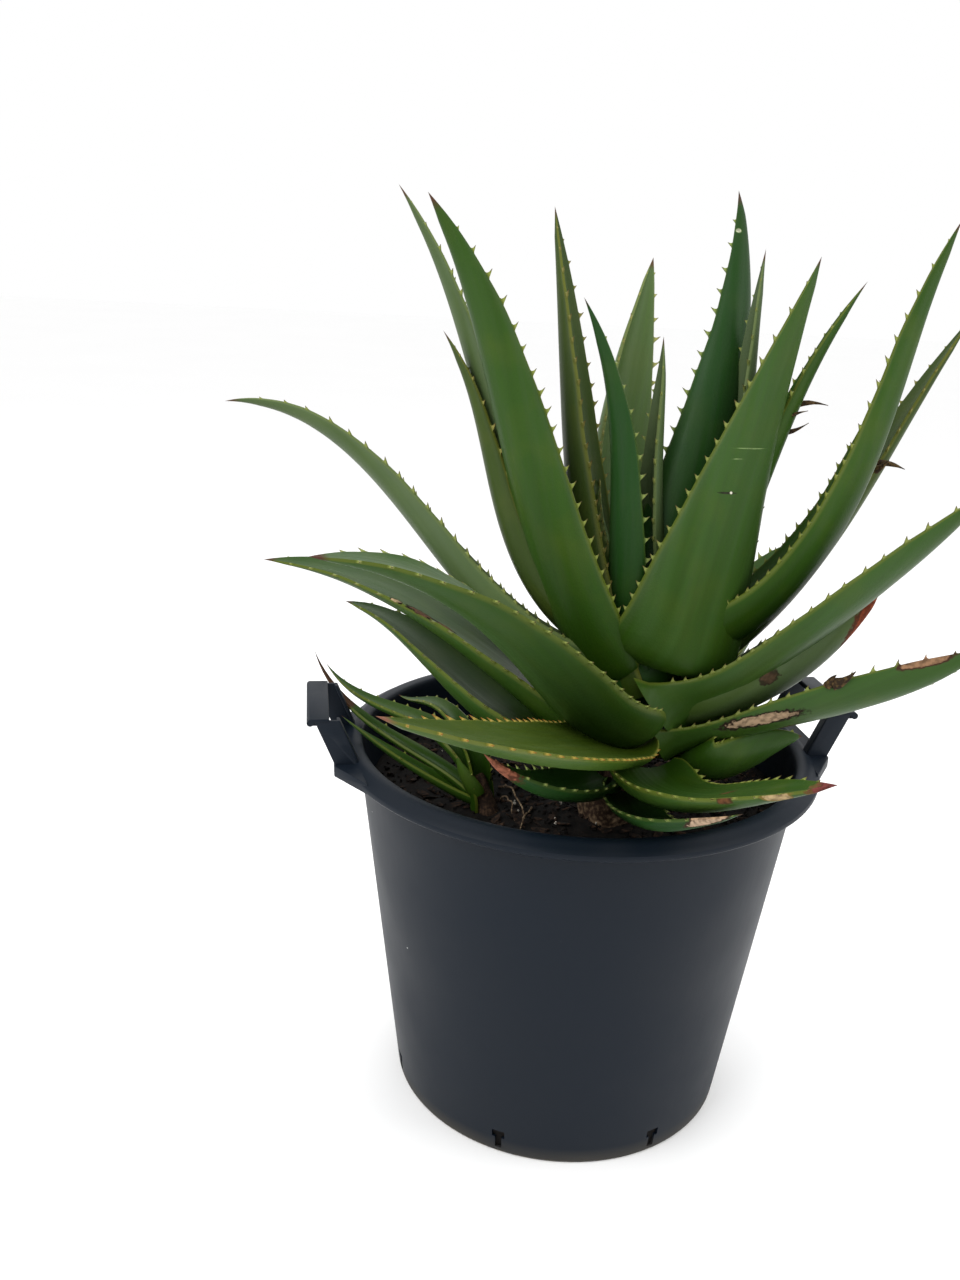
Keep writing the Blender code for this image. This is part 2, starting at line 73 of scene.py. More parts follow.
class Finish:
    """A material under construction: a Principled shader and the nodes that feed it."""

    def __init__(self, name: str, **constants: float) -> None:
        """Start a material.

        Args:
            name: the real material's name
            constants: values of the shader's sockets, spelt with _ for a space
        """
        self.material = bpy.data.materials.new(name)
        self.material.use_nodes = True
        self.tree = self.material.node_tree
        self.shader = self.tree.nodes["Principled BSDF"]
        for socket, value in constants.items():
            self.shader.inputs[socket.replace("_", " ")].default_value = value
        self.where = self.add("TexCoord").outputs["Object"]

    def add(self, kind: str, *inputs: object, **settings: object) -> Node:
        """Add a node with its settings and links.

        Args:
            kind: the node's type, without its first word
            inputs: values, nodes or sockets for its visible inputs in turn, None to leave one alone
            settings: the node's own properties
        Returns:
            the new node
        """
        node = self.tree.nodes.new("ShaderNode" + kind)
        for key, value in settings.items():
            setattr(node, key, value)
        for value, socket in zip(inputs, [one for one in node.inputs if one.enabled]):
            if value is not None:
                self.join(value, socket)
        return node

    def join(self, value: object, socket: NodeSocket) -> None:
        """Link a socket or a node's visible result to an input, or set the input's value."""
        if isinstance(value, Node):
            value = next(one for one in value.outputs if one.enabled)
        if isinstance(value, NodeSocket):
            self.tree.links.new(value, socket)
        else:
            socket.default_value = value

    def layer(self, under: object, over: object, driver: object, start: float, end: float,
              most: float = 1.0) -> Node:
        """Lay a colour over another, more and more as a driver runs from start to end.

        Args:
            under: the colour below
            over: the colour on top
            driver: what decides where the top colour lies
            start: the driver's value where it begins to cover
            end: the driver's value where it covers most
            most: how much it covers there
        Returns:
            the mixed colour
        """
        share = self.add("MapRange", driver, start, end, 0.0, most)
        return self.add("Mix", share, under, over, data_type="RGBA")

    def feed(self, colour: object, rough: object, relief: object, strength: float,
             depth: float) -> Material:
        """Link what drives the shader, and give the material back.

        Args:
            colour: its base colour
            rough: its roughness
            relief: the height that its bump follows
            strength: how strong the bump is
            depth: how deep the relief is, in metres
        Returns:
            the finished material
        """
        bump = self.add("Bump", strength, depth, None, relief)
        for name, source in (("Base Color", colour), ("Roughness", rough), ("Normal", bump)):
            self.join(source, self.shader.inputs[name])
        return self.material


class Face(Enum):
    """The two faces of a leaf, by the depth attribute."""

    UPPER = 0.0
    UNDER = 1.0


UPPER, UNDER = Face


class Tone(Enum):
    """Leaf colours: upper face, under face, margin, tooth, tooth point and dried end."""

    # Each leaf's tone is partly its own colour and partly painted light: the tones were matched to how lit or
    # shaded each leaf looks, so leaves in shade got darker ones and lit leaves brighter ones
    FRESH = ("2c4717", "2f4b19", "56601f", "7c8440", "4a3524", "4a2f25")
    DEEP = ("1b3714", "20401a", "3d5220", "7a8648", "4a4028", "45322a")
    OLIVE = ("36481c", "38481f", "5e6226", "7f7a40", "4a3422", "4d3227")
    BROAD = ("2f4b1c", "365124", "555f22", "7e8646", "4c3626", "4a2a26")
    SUNNED = ("3a4a16", "3c561b", "5e6526", "94803a", "7a3f1e", "7d5244")
    # Pale greens that paint a grey sheen on the leaf, a painted reflection over its own colour
    PALE_SHEEN = ("546b3e", "5c7048", "6a7440", "a3a25f", "5a4630", "5a4030")
    # Greyed greens that paint a grey sheen, a reflection painted into the leaf's colour; on the red-tipped
    # leaf they paint its dull look in shade
    SHEEN_GREYED = ("465438", "4a5b3b", "5d6b3c", "7e8646", "4a3a2a", "4d3227")


@dataclass(frozen=True)
class Mark:
    """A healed scar, scratch or dried patch on one leaf, in the leaf's own millimetres."""

    along: float
    across: float
    length: float
    width: float
    face: Face = UPPER
    core: str = "b29a82"
    rim: str = "38231a"
    slant: float = 0.0
    ragged: float = 0.5


@dataclass(frozen=True)
class AloeSkin:
    """Living aloe leaf: a waxy cuticle, so a soft satin shine over mottled green."""

    name: str
    tone: Tone
    dry_from: float
    marks: tuple[Mark, ...]
    # Noise scales per millimetre along and across the leaf: faint veins 3 to 6 mm apart, broad bands
    vein_scale = (0.012, 0.28, 0.0)
    band_scale = (0.004, 0.07, 0.0)
    # Noise scales per metre: clouds about 30 mm across, the torn edge of a scar, and the cuticle's
    # pores, drawn at 1.5 mm because the real ones are too fine to show
    cloud_scale = 34
    tear_scale = 260
    pore_scale = 650
    # What the sappier green near the root keeps of red, green and blue
    sap = (0.56, 0.66, 0.24)
    scar_depth = -1.6
    relief = 0.4 * MM

    def make(self) -> Material:
        """Build the skin from the leaf's own attributes.

        Returns:
            the material
        """
        f = Finish("aloe_skin_" + self.name, Metallic=0.0, IOR=1.42, Specular_IOR_Level=0.14)
        upper, under, margin, tooth, point, dried = (linear(code) for code in self.tone.value)
        share = f.add("Attribute", attribute_name="leaf_share").outputs["Vector"]
        along, across, depth = f.add("SeparateXYZ", share).outputs
        place = f.add("Attribute", attribute_name="leaf_place").outputs["Vector"]
        spur = f.add("SeparateXYZ", place).outputs["Z"]
        veins = f.add("TexNoise", f.add("VectorMath", place, self.vein_scale, operation="MULTIPLY"), 1, 4)
        bands = f.add("TexNoise", f.add("VectorMath", place, self.band_scale, operation="MULTIPLY"), 1, 2)
        clouds = f.add("TexNoise", f.where, self.cloud_scale, 3)
        pores = f.add("TexNoise", f.where, self.pore_scale, 2)

        # The upper face is a little darker than the under face, partly the leaf's own colour and partly
        # painted shade inside the gutter
        green = f.add("Mix", depth, upper, under, data_type="RGBA")
        green = f.layer(green, [0.7 * v + 0.016 for v in under[:3]] + [1.0], veins, 0.42, 0.72, 0.4)
        green = f.layer(green, margin, clouds, 0.45, 0.8, 0.22)
        sappy = f.add("MapRange", along, 0.0, 0.5, 0.9, 0.0)
        banded = f.add("MapRange", bands, 0.35, 0.68, -0.15, 0.5)
        sappy = f.add("Math", sappy, banded, operation="ADD", use_clamp=True)
        sap = f.add("VectorMath", green, self.sap, operation="MULTIPLY")
        green = f.add("Mix", sappy, green, sap, data_type="RGBA")

        skin = f.layer(green, margin, f.add("Math", across, operation="ABSOLUTE"), 0.955, 1.0, 0.75)
        skin = f.layer(skin, tooth, spur, 0.0, 0.35)
        skin = f.layer(skin, point, spur, 0.45, 1.0)
        worn = f.add("Math", clouds, 0.05, along, operation="MULTIPLY_ADD")
        dry = f.add("MapRange", worn, self.dry_from + 0.008, self.dry_from + 0.028, 0.0, 0.9)
        skin = f.add("Mix", dry, skin, dried, data_type="RGBA")

        scarred = 0.0
        for mark in self.marks:
            skin, torn = self.scar(f, mark, skin, place, depth)
            scarred = f.add("Math", scarred, torn, operation="MAXIMUM")
        dull = f.add("Math", dry, scarred, operation="MAXIMUM")
        rough = f.add("MapRange", veins, 0.3, 0.7, 0.34, 0.5)
        rough = f.add("Mix", dull, rough, 0.8, data_type="FLOAT")
        relief = f.add("Math", veins, 0.5, pores, operation="MULTIPLY_ADD")
        relief = f.add("Math", scarred, self.scar_depth, relief, operation="MULTIPLY_ADD")
        return f.feed(skin, rough, relief, 0.35, self.relief)

    def scar(self, f: Finish, mark: Mark, skin: object, place: object,
             depth: object) -> tuple[object, object]:
        """Lay one mark over the skin's colour.

        Args:
            f: the material
            mark: the scar's place, size and colours
            skin: the colour so far
            place: the leaf's own millimetres
            depth: 0 on the upper face and 1 on the under face
        Returns:
            the new colour, and how far the place is scarred
        """
        offset = f.add("VectorMath", place, (mark.along, mark.across, 0.0), operation="SUBTRACT")
        offset = f.add("VectorRotate", offset, None, -radians(mark.slant), rotation_type="Z_AXIS")
        offset = f.add("VectorMath", offset, (2 / mark.length, 2 / mark.width, 0.0), operation="MULTIPLY")
        crumbs = f.add("TexNoise", f.where, self.tear_scale, 3)
        torn = f.add("VectorMath", crumbs.outputs["Color"], (0.5,) * 3, operation="SUBTRACT")
        offset = f.add("VectorMath", torn, (3 * mark.ragged,) * 3, offset, operation="MULTIPLY_ADD")
        far = f.add("VectorMath", offset, operation="LENGTH")
        apart = f.add("Math", depth, mark.face.value, operation="SUBTRACT")
        here = f.add("MapRange", f.add("Math", apart, operation="ABSOLUTE"), 0.85, 0.6, 0.0, 1.0)
        # Both run in from outside: the dark rim first, then the core
        rim, core = (f.add("Math", f.add("MapRange", far, *run, 0.0, 1.0), here, operation="MULTIPLY")
                     for run in ((1.35, 1.12), (1.0, 0.85)))
        skin = f.add("Mix", rim, skin, linear(mark.rim), data_type="RGBA")
        flecks = f.add("MapRange", crumbs, 0.36, 0.6, 0.5, 1.1)
        cork = f.add("VectorMath", linear(mark.core)[:3], flecks, operation="SCALE")
        return f.add("Mix", core, skin, cork, data_type="RGBA"), rim


@dataclass(frozen=True)
class PotPlastic:
    """Recycled black polypropylene, injection moulded: a dull slate sheen, with scuffs and dust."""

    colour: str = "0b141e"
    dust: str = "6c6454"
    speck: str = "c9cbc8"
    # Noise scales per metre: a pale film, the mould's grain, and wipes that run up the wall
    film_scale = 9
    grain_scale = 900
    wipe_scale = (160, 160, 12)
    speck_scale = 62

    def make(self) -> Material:
        """Build the plastic with its dusty foot, pale specks and handling scuffs."""
        f = Finish("black_moulded_polypropylene", Metallic=0.0, IOR=1.49, Specular_IOR_Level=0.17)
        height = f.add("SeparateXYZ", f.where).outputs["Z"]
        clouds = f.add("TexNoise", f.where, self.film_scale, 4)
        grain = f.add("TexNoise", f.where, self.grain_scale, 2)
        wipes = f.add("TexNoise", f.add("VectorMath", f.where, self.wipe_scale, operation="MULTIPLY"), 1, 3)
        base = linear(self.colour)
        skin = f.layer(base, [v * 1.7 + 0.003 for v in base[:3]] + [1.0], clouds, 0.4, 0.75, 0.16)
        # Dust kicked up round the foot, thick in the last 3 mm and gone by 14 mm
        foot = f.add("MapRange", height, 0.014, 0.0, 0.0, 0.55)
        foot = f.add("Math", foot, clouds, operation="MULTIPLY")
        brim = f.add("MapRange", height, 0.003, 0.0005, 0.0, 0.8)
        broken = f.add("MapRange", wipes, 0.42, 0.55, 0.0, 1.0)
        brim = f.add("Math", brim, broken, operation="MULTIPLY")
        dirt = f.add("Math", foot, brim, operation="MAXIMUM")
        skin = f.add("Mix", dirt, skin, linear(self.dust), data_type="RGBA")
        # Sparse specks a little over 1 mm across
        cells = f.add("TexVoronoi", f.where, self.speck_scale)
        dots = f.add("MapRange", cells, 0.05, 0.03, 0.0, 1.0)
        few = f.add("SeparateXYZ", cells.outputs["Color"])
        few = f.add("MapRange", few, 0.86, 0.88, 0.0, 0.75)
        dots = f.add("Math", dots, few, operation="MULTIPLY")
        skin = f.add("Mix", dots, skin, linear(self.speck), data_type="RGBA")
        rough = f.add("MapRange", clouds, 0.3, 0.7, 0.42, 0.56)
        rough = f.add("Mix", dirt, rough, 0.9, data_type="FLOAT")
        relief = f.add("Math", grain, 0.35, wipes, operation="MULTIPLY_ADD")
        return f.feed(skin, rough, relief, 0.22, 0.25 * MM)


@dataclass(frozen=True)
class Crumbly:
    """A dry matt stuff, such as peat, bark or dead leaf, in two colours.

    Its grit and its relief are millimetres.
    """

    name: str
    dark: str
    pale: str
    grit: float
    relief: float

    def make(self) -> Material:
        """Build the stuff from its grit and from clods of three times that size."""
        f = Finish(self.name, Metallic=0.0, IOR=1.45, Specular_IOR_Level=0.2)
        scale = 1 / (self.grit * MM)
        clods = f.add("TexNoise", f.where, scale / 3, 6, 0.65)
        grit = f.add("TexNoise", f.where, scale, 3)
        both = f.add("Math", clods, grit, operation="MULTIPLY")
        skin = f.layer(linear(self.dark), linear(self.pale), both, 0.2, 0.42)
        rough = f.add("MapRange", grit, 0.3, 0.7, 0.85, 1.0)
        return f.feed(skin, rough, both, 0.7, self.relief * MM)


# Mesh helpers


def as_object(name: str, bm: BMesh, *materials: Material, sharp: float = 40.0) -> Object:
    """Turn a bmesh into a smooth-shaded object at the origin.

    Args:
        name: the piece's name
        bm: the mesh, which is freed
        materials: its material slots
        sharp: the angle in degrees past which an edge stays sharp
    Returns:
        the object
    """
    mesh = bpy.data.meshes.new(name)
    bm.to_mesh(mesh)
    bm.free()
    for one in materials:
        mesh.materials.append(one)
    mesh.shade_smooth()
    mesh.set_sharp_from_angle(angle=radians(sharp))
    made = bpy.data.objects.new(name, mesh)
    bpy.context.scene.collection.objects.link(made)
    return made


def dress(piece: Object, slot: str, *nodes: str) -> Object:
    """Fix a piece to the plant's body, and hide the CAD nodes that it stands for."""
    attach(piece, BODY)
    if nodes:
        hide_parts(*nodes)
    log.info("%s: %d faces", piece.name, len(piece.data.polygons))
    return piece


def sweep(bm: BMesh, rings: Sequence[Sequence[Vector]]) -> None:
    """Draw a closed ring through a row of places by extrusion, and cap both ends.

    Args:
        bm: the mesh that gains the swept body
        rings: the ring's corners at each place, all with the same count
    """
    verts = [bm.verts.new(point) for point in rings[0]]
    edges = [bm.edges.new((a, b)) for a, b in zip(verts, verts[1:] + verts[:1])]
    first = list(edges)
    for ring in rings[1:]:
        grown = bmesh.ops.extrude_edge_only(bm, edges=edges)["geom"]
        verts = [item for item in grown if isinstance(item, BMVert)]
        edges = [item for item in grown if isinstance(item, BMEdge) and
                 all(v in set(verts) for v in item.verts)]
        for v, point in zip(verts, ring):
            v.co = point
    bmesh.ops.holes_fill(bm, edges=first + edges)
    bmesh.ops.recalc_face_normals(bm, faces=bm.faces[:])


def spoke(angle: float) -> Vector:
    """The level unit vector at an azimuth in radians."""
    return Vector((cos(angle), sin(angle), 0))


def tube(bm: BMesh, path: Sequence[Vector], radii: Sequence[float], sides: int) -> None:
    """Sweep a circle along a path.

    Args:
        bm: the mesh that gains the tube
        path: the points of its centre line
        radii: its radius at each point
        sides: corners of the circle
    """
    angles = [2 * pi * j / sides for j in range(sides)]
    rings = []
    for k, (point, radius) in enumerate(zip(path, radii)):
        ahead = path[min(k + 1, len(path) - 1)] - path[max(k - 1, 0)]
        turn = ahead.to_track_quat("Z", "Y").to_matrix()
        rings.append([point + turn @ (spoke(angle) * radius) for angle in angles])
    sweep(bm, rings)


def spun(line: Sequence[tuple[float, float]], sides: int) -> BMesh:
    """Spin a section round the Z axis.

    Args:
        line: (radius, height) of its corners, from the axis round to the axis
        sides: how many sides the body gets
    Returns:
        the closed body
    """
    bm = bmesh.new()
    verts = [bm.verts.new((radius, 0, z)) for radius, z in line]
    edges = [bm.edges.new(pair) for pair in zip(verts, verts[1:])]
    bmesh.ops.spin(bm, geom=verts + edges, cent=(0, 0, 0), axis=(0, 0, 1), angle=2 * pi,
                   steps=sides, use_merge=True)
    bmesh.ops.remove_doubles(bm, verts=bm.verts[:], dist=MERGE)
    bmesh.ops.recalc_face_normals(bm, faces=bm.faces[:])
    return bm


def round_edges(bm: BMesh, width: float) -> None:
    """Bevel every edge of a mesh."""
    bmesh.ops.bevel(bm, geom=bm.edges[:], offset=width, segments=2, affect="EDGES", profile=0.5,
                    material=-1)


def boolean(target: Object, others: Iterable[Object], operation: str) -> None:
    """Join the others to the target or cut them from it, and remove them.

    Args:
        target: the object that gets the result as its mesh
        others: the operands
        operation: UNION or DIFFERENCE
    """
    group = bpy.data.collections.new("operands")
    others = list(others)
    for other in others:
        group.objects.link(other)
    step = target.modifiers.new("boolean", "BOOLEAN")
    step.operation = operation
    step.operand_type = "COLLECTION"
    step.collection = group
    step.solver = "EXACT"
    graph = bpy.context.evaluated_depsgraph_get()
    result = bpy.data.meshes.new_from_object(target.evaluated_get(graph))
    target.modifiers.clear()
    target.data = result
    bpy.data.collections.remove(group)
    for other in others:
        bpy.data.objects.remove(other, do_unlink=True)


# The plant


@dataclass(frozen=True)
class Shoot:
    """A leafy stem: its foot at the soil, the point it grows towards, and its thickness."""

    foot: Vector
    towards: Vector
    radius: float
    top_radius: float
    length: float

    def axis(self) -> Vector:
        """The direction that it grows in."""
        return (self.towards - self.foot).normalized()

    def turn(self) -> Matrix:
        """The turn from upright to the shoot's own lean."""
        return Vector((0, 0, 1)).rotation_difference(self.axis()).to_matrix()

    def at(self, height: float) -> Vector:
        """The point of its centre line at a height above the foot."""
        return self.foot + self.axis() * height


@dataclass(frozen=True)
class LeafForm:
    """One leaf by its growth: angles in degrees, lengths in millimetres.

    The values are those of the CAD leaf of the same name.  Tone and marks give its skin, dry_from
    the share of the length at which the end has dried, and spines how large its teeth are.
    """

    name: str
    azimuth: float
    height: float
    rise: tuple[float, float, float]
    length: float
    width: float
    gutter: float = 45
    roll: float = 0
    swing: float = 0
    reach: float = 12
    root: float = 0.88
    clasp: float = 62
    fullness: float = 0.22
    grasp: float = 0.12
    taper: float = 1.7
    tone: Tone = Tone.FRESH
    dry_from: float = 0.98
    spines: float = 1.0
    teeth: tuple[float, float] = (0.07, 0.965)
    marks: tuple[Mark, ...] = ()


class Blade:
    """The surface of one leaf: a spine that bends with its rises, and a gutter-shaped section."""

    steps = 60
    edge = 1.6 * MM
    edge_fades_at = 8 * MM
    belly = 0.7
    ripple = 0.9 * MM
    ripple_length = 42 * MM
    ripple_fade = 6

    def __init__(self, form: LeafForm, shoot: Shoot) -> None:
        """Lay out the leaf's spine.

        Args:
            form: the leaf's growth
            shoot: the stem that carries it
        """
        self.form = form
        self.turn = shoot.turn()
        reach = spoke(radians(form.azimuth)) * form.reach * MM
        place = shoot.at(form.height * MM) + self.turn @ reach
        self.places = [place]
        for k in range(self.steps):
            place = place + self.direction((k + 0.5) / self.steps) * (form.length * MM / self.steps)
            self.places.append(place)

    def angles(self, s: float) -> tuple[float, float]:
        """Rise and azimuth at a share s of the length, in radians."""
        root, middle, tip = self.form.rise
        bend = 2 * (root + tip - 2 * middle)
        rise = bend * s * s + (tip - root - bend) * s + root
        return radians(rise), radians(self.form.azimuth + self.form.swing * s * s)

    def direction(self, s: float) -> Vector:
        """The way that the spine runs at s."""
        rise, azimuth = self.angles(s)
        return self.turn @ (spoke(azimuth) * cos(rise) + Vector((0, 0, sin(rise))))

    def frame(self, s: float) -> tuple[Vector, Vector, Vector]:
        """Place on the spine at s, and the unit vectors across the leaf and to its upper face."""
        whole = min(int(s * self.steps), self.steps - 1)
        place = self.places[whole].lerp(self.places[whole + 1], s * self.steps - whole)
        across = self.turn @ spoke(self.angles(s)[1] + pi / 2)
        along = self.direction(s)
        roll = Matrix.Rotation(radians(self.form.roll * s), 3, along)
        return place, roll @ across, roll @ along.cross(across)

    def width(self, s: float) -> float:
        """Width round the gutter: it swells out of a narrower root and tapers to the tip."""
        form = self.form
        swell = sqrt(1 - (1 - min(s / form.grasp, 1)) ** 2)
        return form.width * MM * (1 - s ** form.taper) * (form.root + (1 - form.root) * swell)

    def half_angle(self, s: float) -> float:
        """Half the angle that the gutter wraps at s, wider where the root clasps the stem."""
        wrap = exp(-(s / self.form.grasp) ** 2)
        return radians(self.form.gutter + (self.form.clasp - self.form.gutter) * wrap)

    def row(self, s: float, ring: Sequence[tuple[float, float]]) -> list[Vector]:
        """Points across the leaf at one share of its length.

        Args:
            s: the share of the length
            ring: (u, depth) of each point: u from -1 to 1 across, depth 0 above and 1 below
        Returns:
            the points
        """
        place, across, up = self.frame(s)
        angle = self.half_angle(s)
        width = self.width(s)
        radius = width / 2 / angle
        edge = self.edge * min(1.0, width / self.edge_fades_at)
        points = []
        for u, depth in ring:
            out = radius + depth * (self.form.fullness * width * (1 - u * u) ** self.belly + edge)
            seed = Vector((s * self.form.length * MM / self.ripple_length, u, self.form.azimuth))
            wave = noise.noise(seed) * self.ripple * u * u * min(1.0, self.ripple_fade * (1 - s))
            points.append(place + across * (out * sin(u * angle)) +
                          up * (radius - out * cos(u * angle) + wave))
        return points

    def outward(self, s: float, side: float) -> Vector:
        """The direction that a tooth on one margin points in."""
        _, across, up = self.frame(s)
        angle = self.half_angle(s)
        return (across * side * cos(angle) + up * sin(angle)).normalized()


@dataclass(frozen=True)
class Tooth:
    """One hooked tooth: the shares of the length where it starts, stands and ends, and its size."""

    start: float
    middle: float
    end: float
    size: float


class Leaf:
    """A leaf's mesh: a grid laid over its blade, with teeth extruded from both margins."""

    above = 12
    below = 14
    row_pitch = 6.5 * MM
    row_clearance = 1.4 * MM
    tip_rows = (0.975, 0.99, 0.997)
    tooth_height = 4.5 * MM
    tooth_hook = 2.6 * MM
    tooth_base = 5.2 * MM
    full_size_width = 24 * MM
    fewest_rows = 8
    # Teeth stand 8 mm apart at the root, 20 mm near the tip, and are smaller over the first 30%
    first_gap = (1, 7)
    root_pitch = 8
    more_pitch = 12.5
    root_size = 0.55
    root_share = 0.3
    least_base = 0.4
    size_spread = (0.8, 1.15)
    pitch_spread = (0.85, 1.15)
    # Share of the height, share of the hook, and what is left of the base's length and thickness
    stages = ((0.14, 0.03, 0.6, 0.9), (0.48, 0.3, 0.32, 0.6), (1.0, 1.0, 0.04, 0.08))

    def __init__(self, form: LeafForm, shoot: Shoot, chance: random.Random) -> None:
        """Lay out the leaf and its teeth.

        Args:
            form: the leaf's growth
            shoot: the stem that carries it
            chance: where its small differences come from
        """
        self.form = form
        self.blade = Blade(form, shoot)
        self.teeth = {side: self.tooth_row(chance) for side in (-1.0, 1.0)}

    def tooth_row(self, chance: random.Random) -> list[Tooth]:
        """Teeth of one margin, from root to tip."""
        length = self.form.length * MM
        first, last = self.form.teeth
        place = first * length + chance.uniform(*self.first_gap) * MM
        teeth = []
        while place < last * length:
            s = place / length
            size = self.form.spines * min(1.0, self.blade.width(s) / self.full_size_width)
            size *= self.root_size + (1 - self.root_size) * min(1.0, s / self.root_share)
            size *= chance.uniform(*self.size_spread)
            half = self.tooth_base / 2 / length * (self.least_base + (1 - self.least_base) * size)
            teeth.append(Tooth(s - half, s, s + half, size))
            place += (self.root_pitch + self.more_pitch * s) * chance.uniform(*self.pitch_spread) * MM
        return teeth

    def shares(self) -> list[float]:
        """Where the rows of the grid lie: at each tooth's edges, and evenly between them."""
        length = self.form.length * MM
        edges = sorted({s for row in self.teeth.values() for one in row for s in (one.start, one.end)})
        count = max(self.fewest_rows, round(length / self.row_pitch))
        even = [k / count for k in range(count)] + list(self.tip_rows)
        clear = self.row_clearance / length
        even = [s for s in even if all(abs(s - edge) > clear for edge in edges)]
        return sorted(edges + even) + [1.0]

    def ring(self) -> list[tuple[float, float]]:
        """(u, depth) round the section: over the upper face, then back under the lower face."""
        over = [(sin(pi / 2 * (2 * k / self.above - 1)), 0.0) for k in range(self.above + 1)]
        back = [(sin(pi / 2 * (1 - 2 * k / self.below)), 1.0) for k in range(self.below + 1)]
        return over + back + over[:1]

    def build(self, skin: Material) -> Object:
        """Make the leaf's object.

        Args:
            skin: its material
        Returns:
            the object
        """
        rows, ring = self.shares(), self.ring()
        bm = bmesh.new()
        share = bm.verts.layers.float_vector.new("leaf_share")
        place = bm.verts.layers.float_vector.new("leaf_place")
        bmesh.ops.create_grid(bm, x_segments=len(ring) - 1, y_segments=len(rows) - 1, size=0.5)
        points = [self.blade.row(s, ring) for s in rows]
        for v in bm.verts:
            i = round((v.co.x + 0.5) * (len(ring) - 1))
            j = round((v.co.y + 0.5) * (len(rows) - 1))
            u, depth = ring[i]
            v.co = points[j][i]
            v[share] = Vector((rows[j], u, depth))
            v[place] = Vector((rows[j] * self.form.length, u * self.blade.width(rows[j]) / MM / 2, 0))
        bmesh.ops.remove_doubles(bm, verts=bm.verts[:], dist=MERGE)
        bmesh.ops.holes_fill(bm, edges=[edge for edge in bm.edges if len(edge.link_faces) == 1])
        bmesh.ops.recalc_face_normals(bm, faces=bm.faces[:])
        self.grow_teeth(bm, share, place)
        return as_object("aloe_" + self.form.name, bm, skin, sharp=60)

    def grow_teeth(self, bm: BMesh, share: object, place: object) -> None:
        """Extrude every tooth from the faces of its stretch of margin, in three stages.

        Args:
            bm: the leaf's mesh
            share: the vertex layer that holds (s, u, depth)
            place: the vertex layer that holds the leaf's millimetres and the share of a tooth
        """
        faces = [face for face in bm.faces if self.tooth_of(face, share)]
        for height, hook, length, thick in self.stages:
            grown = bmesh.ops.extrude_face_region(bm, geom=faces)["geom"]
            faces = [item for item in grown if isinstance(item, BMFace)]
            for face in faces:
                tooth = self.tooth_of(face, share)
                for v in face.verts:
                    s, side, depth = v[share]
                    near = tooth.middle + (s - tooth.middle) * length
                    point = self.blade.row(near, [(side, 0.5 + (depth - 0.5) * thick)])[0]
                    lift = self.blade.outward(tooth.middle, side) * (self.tooth_height * height)
                    lean = self.blade.direction(tooth.middle) * (self.tooth_hook * hook)
                    v.co = point + (lift + lean) * tooth.size
                    v[place] = Vector((v[place].x, v[place].y, height))

    def tooth_of(self, face: BMFace, share: object) -> Tooth | None:
        """The tooth that a face of the margin belongs to, or None."""
        spots = [v[share] for v in face.verts]
        side = spots[0].y
        if any(abs(abs(spot.y) - 1) > MERGE or spot.y * side < 0 for spot in spots):
            return None
        s = sum(spot.x for spot in spots) / len(spots)
        return next((one for one in self.teeth[round(side)] if one.start < s < one.end), None)


MAIN = Shoot(Vector((24, -62, 245)) * MM, Vector((52, -36, 360)) * MM, 20 * MM, 8 * MM, 128 * MM)
OFFSET = Shoot(Vector((-63, -56, 247)) * MM, Vector((-80, -50, 300)) * MM, 9 * MM, 5.4 * MM, 30 * MM)
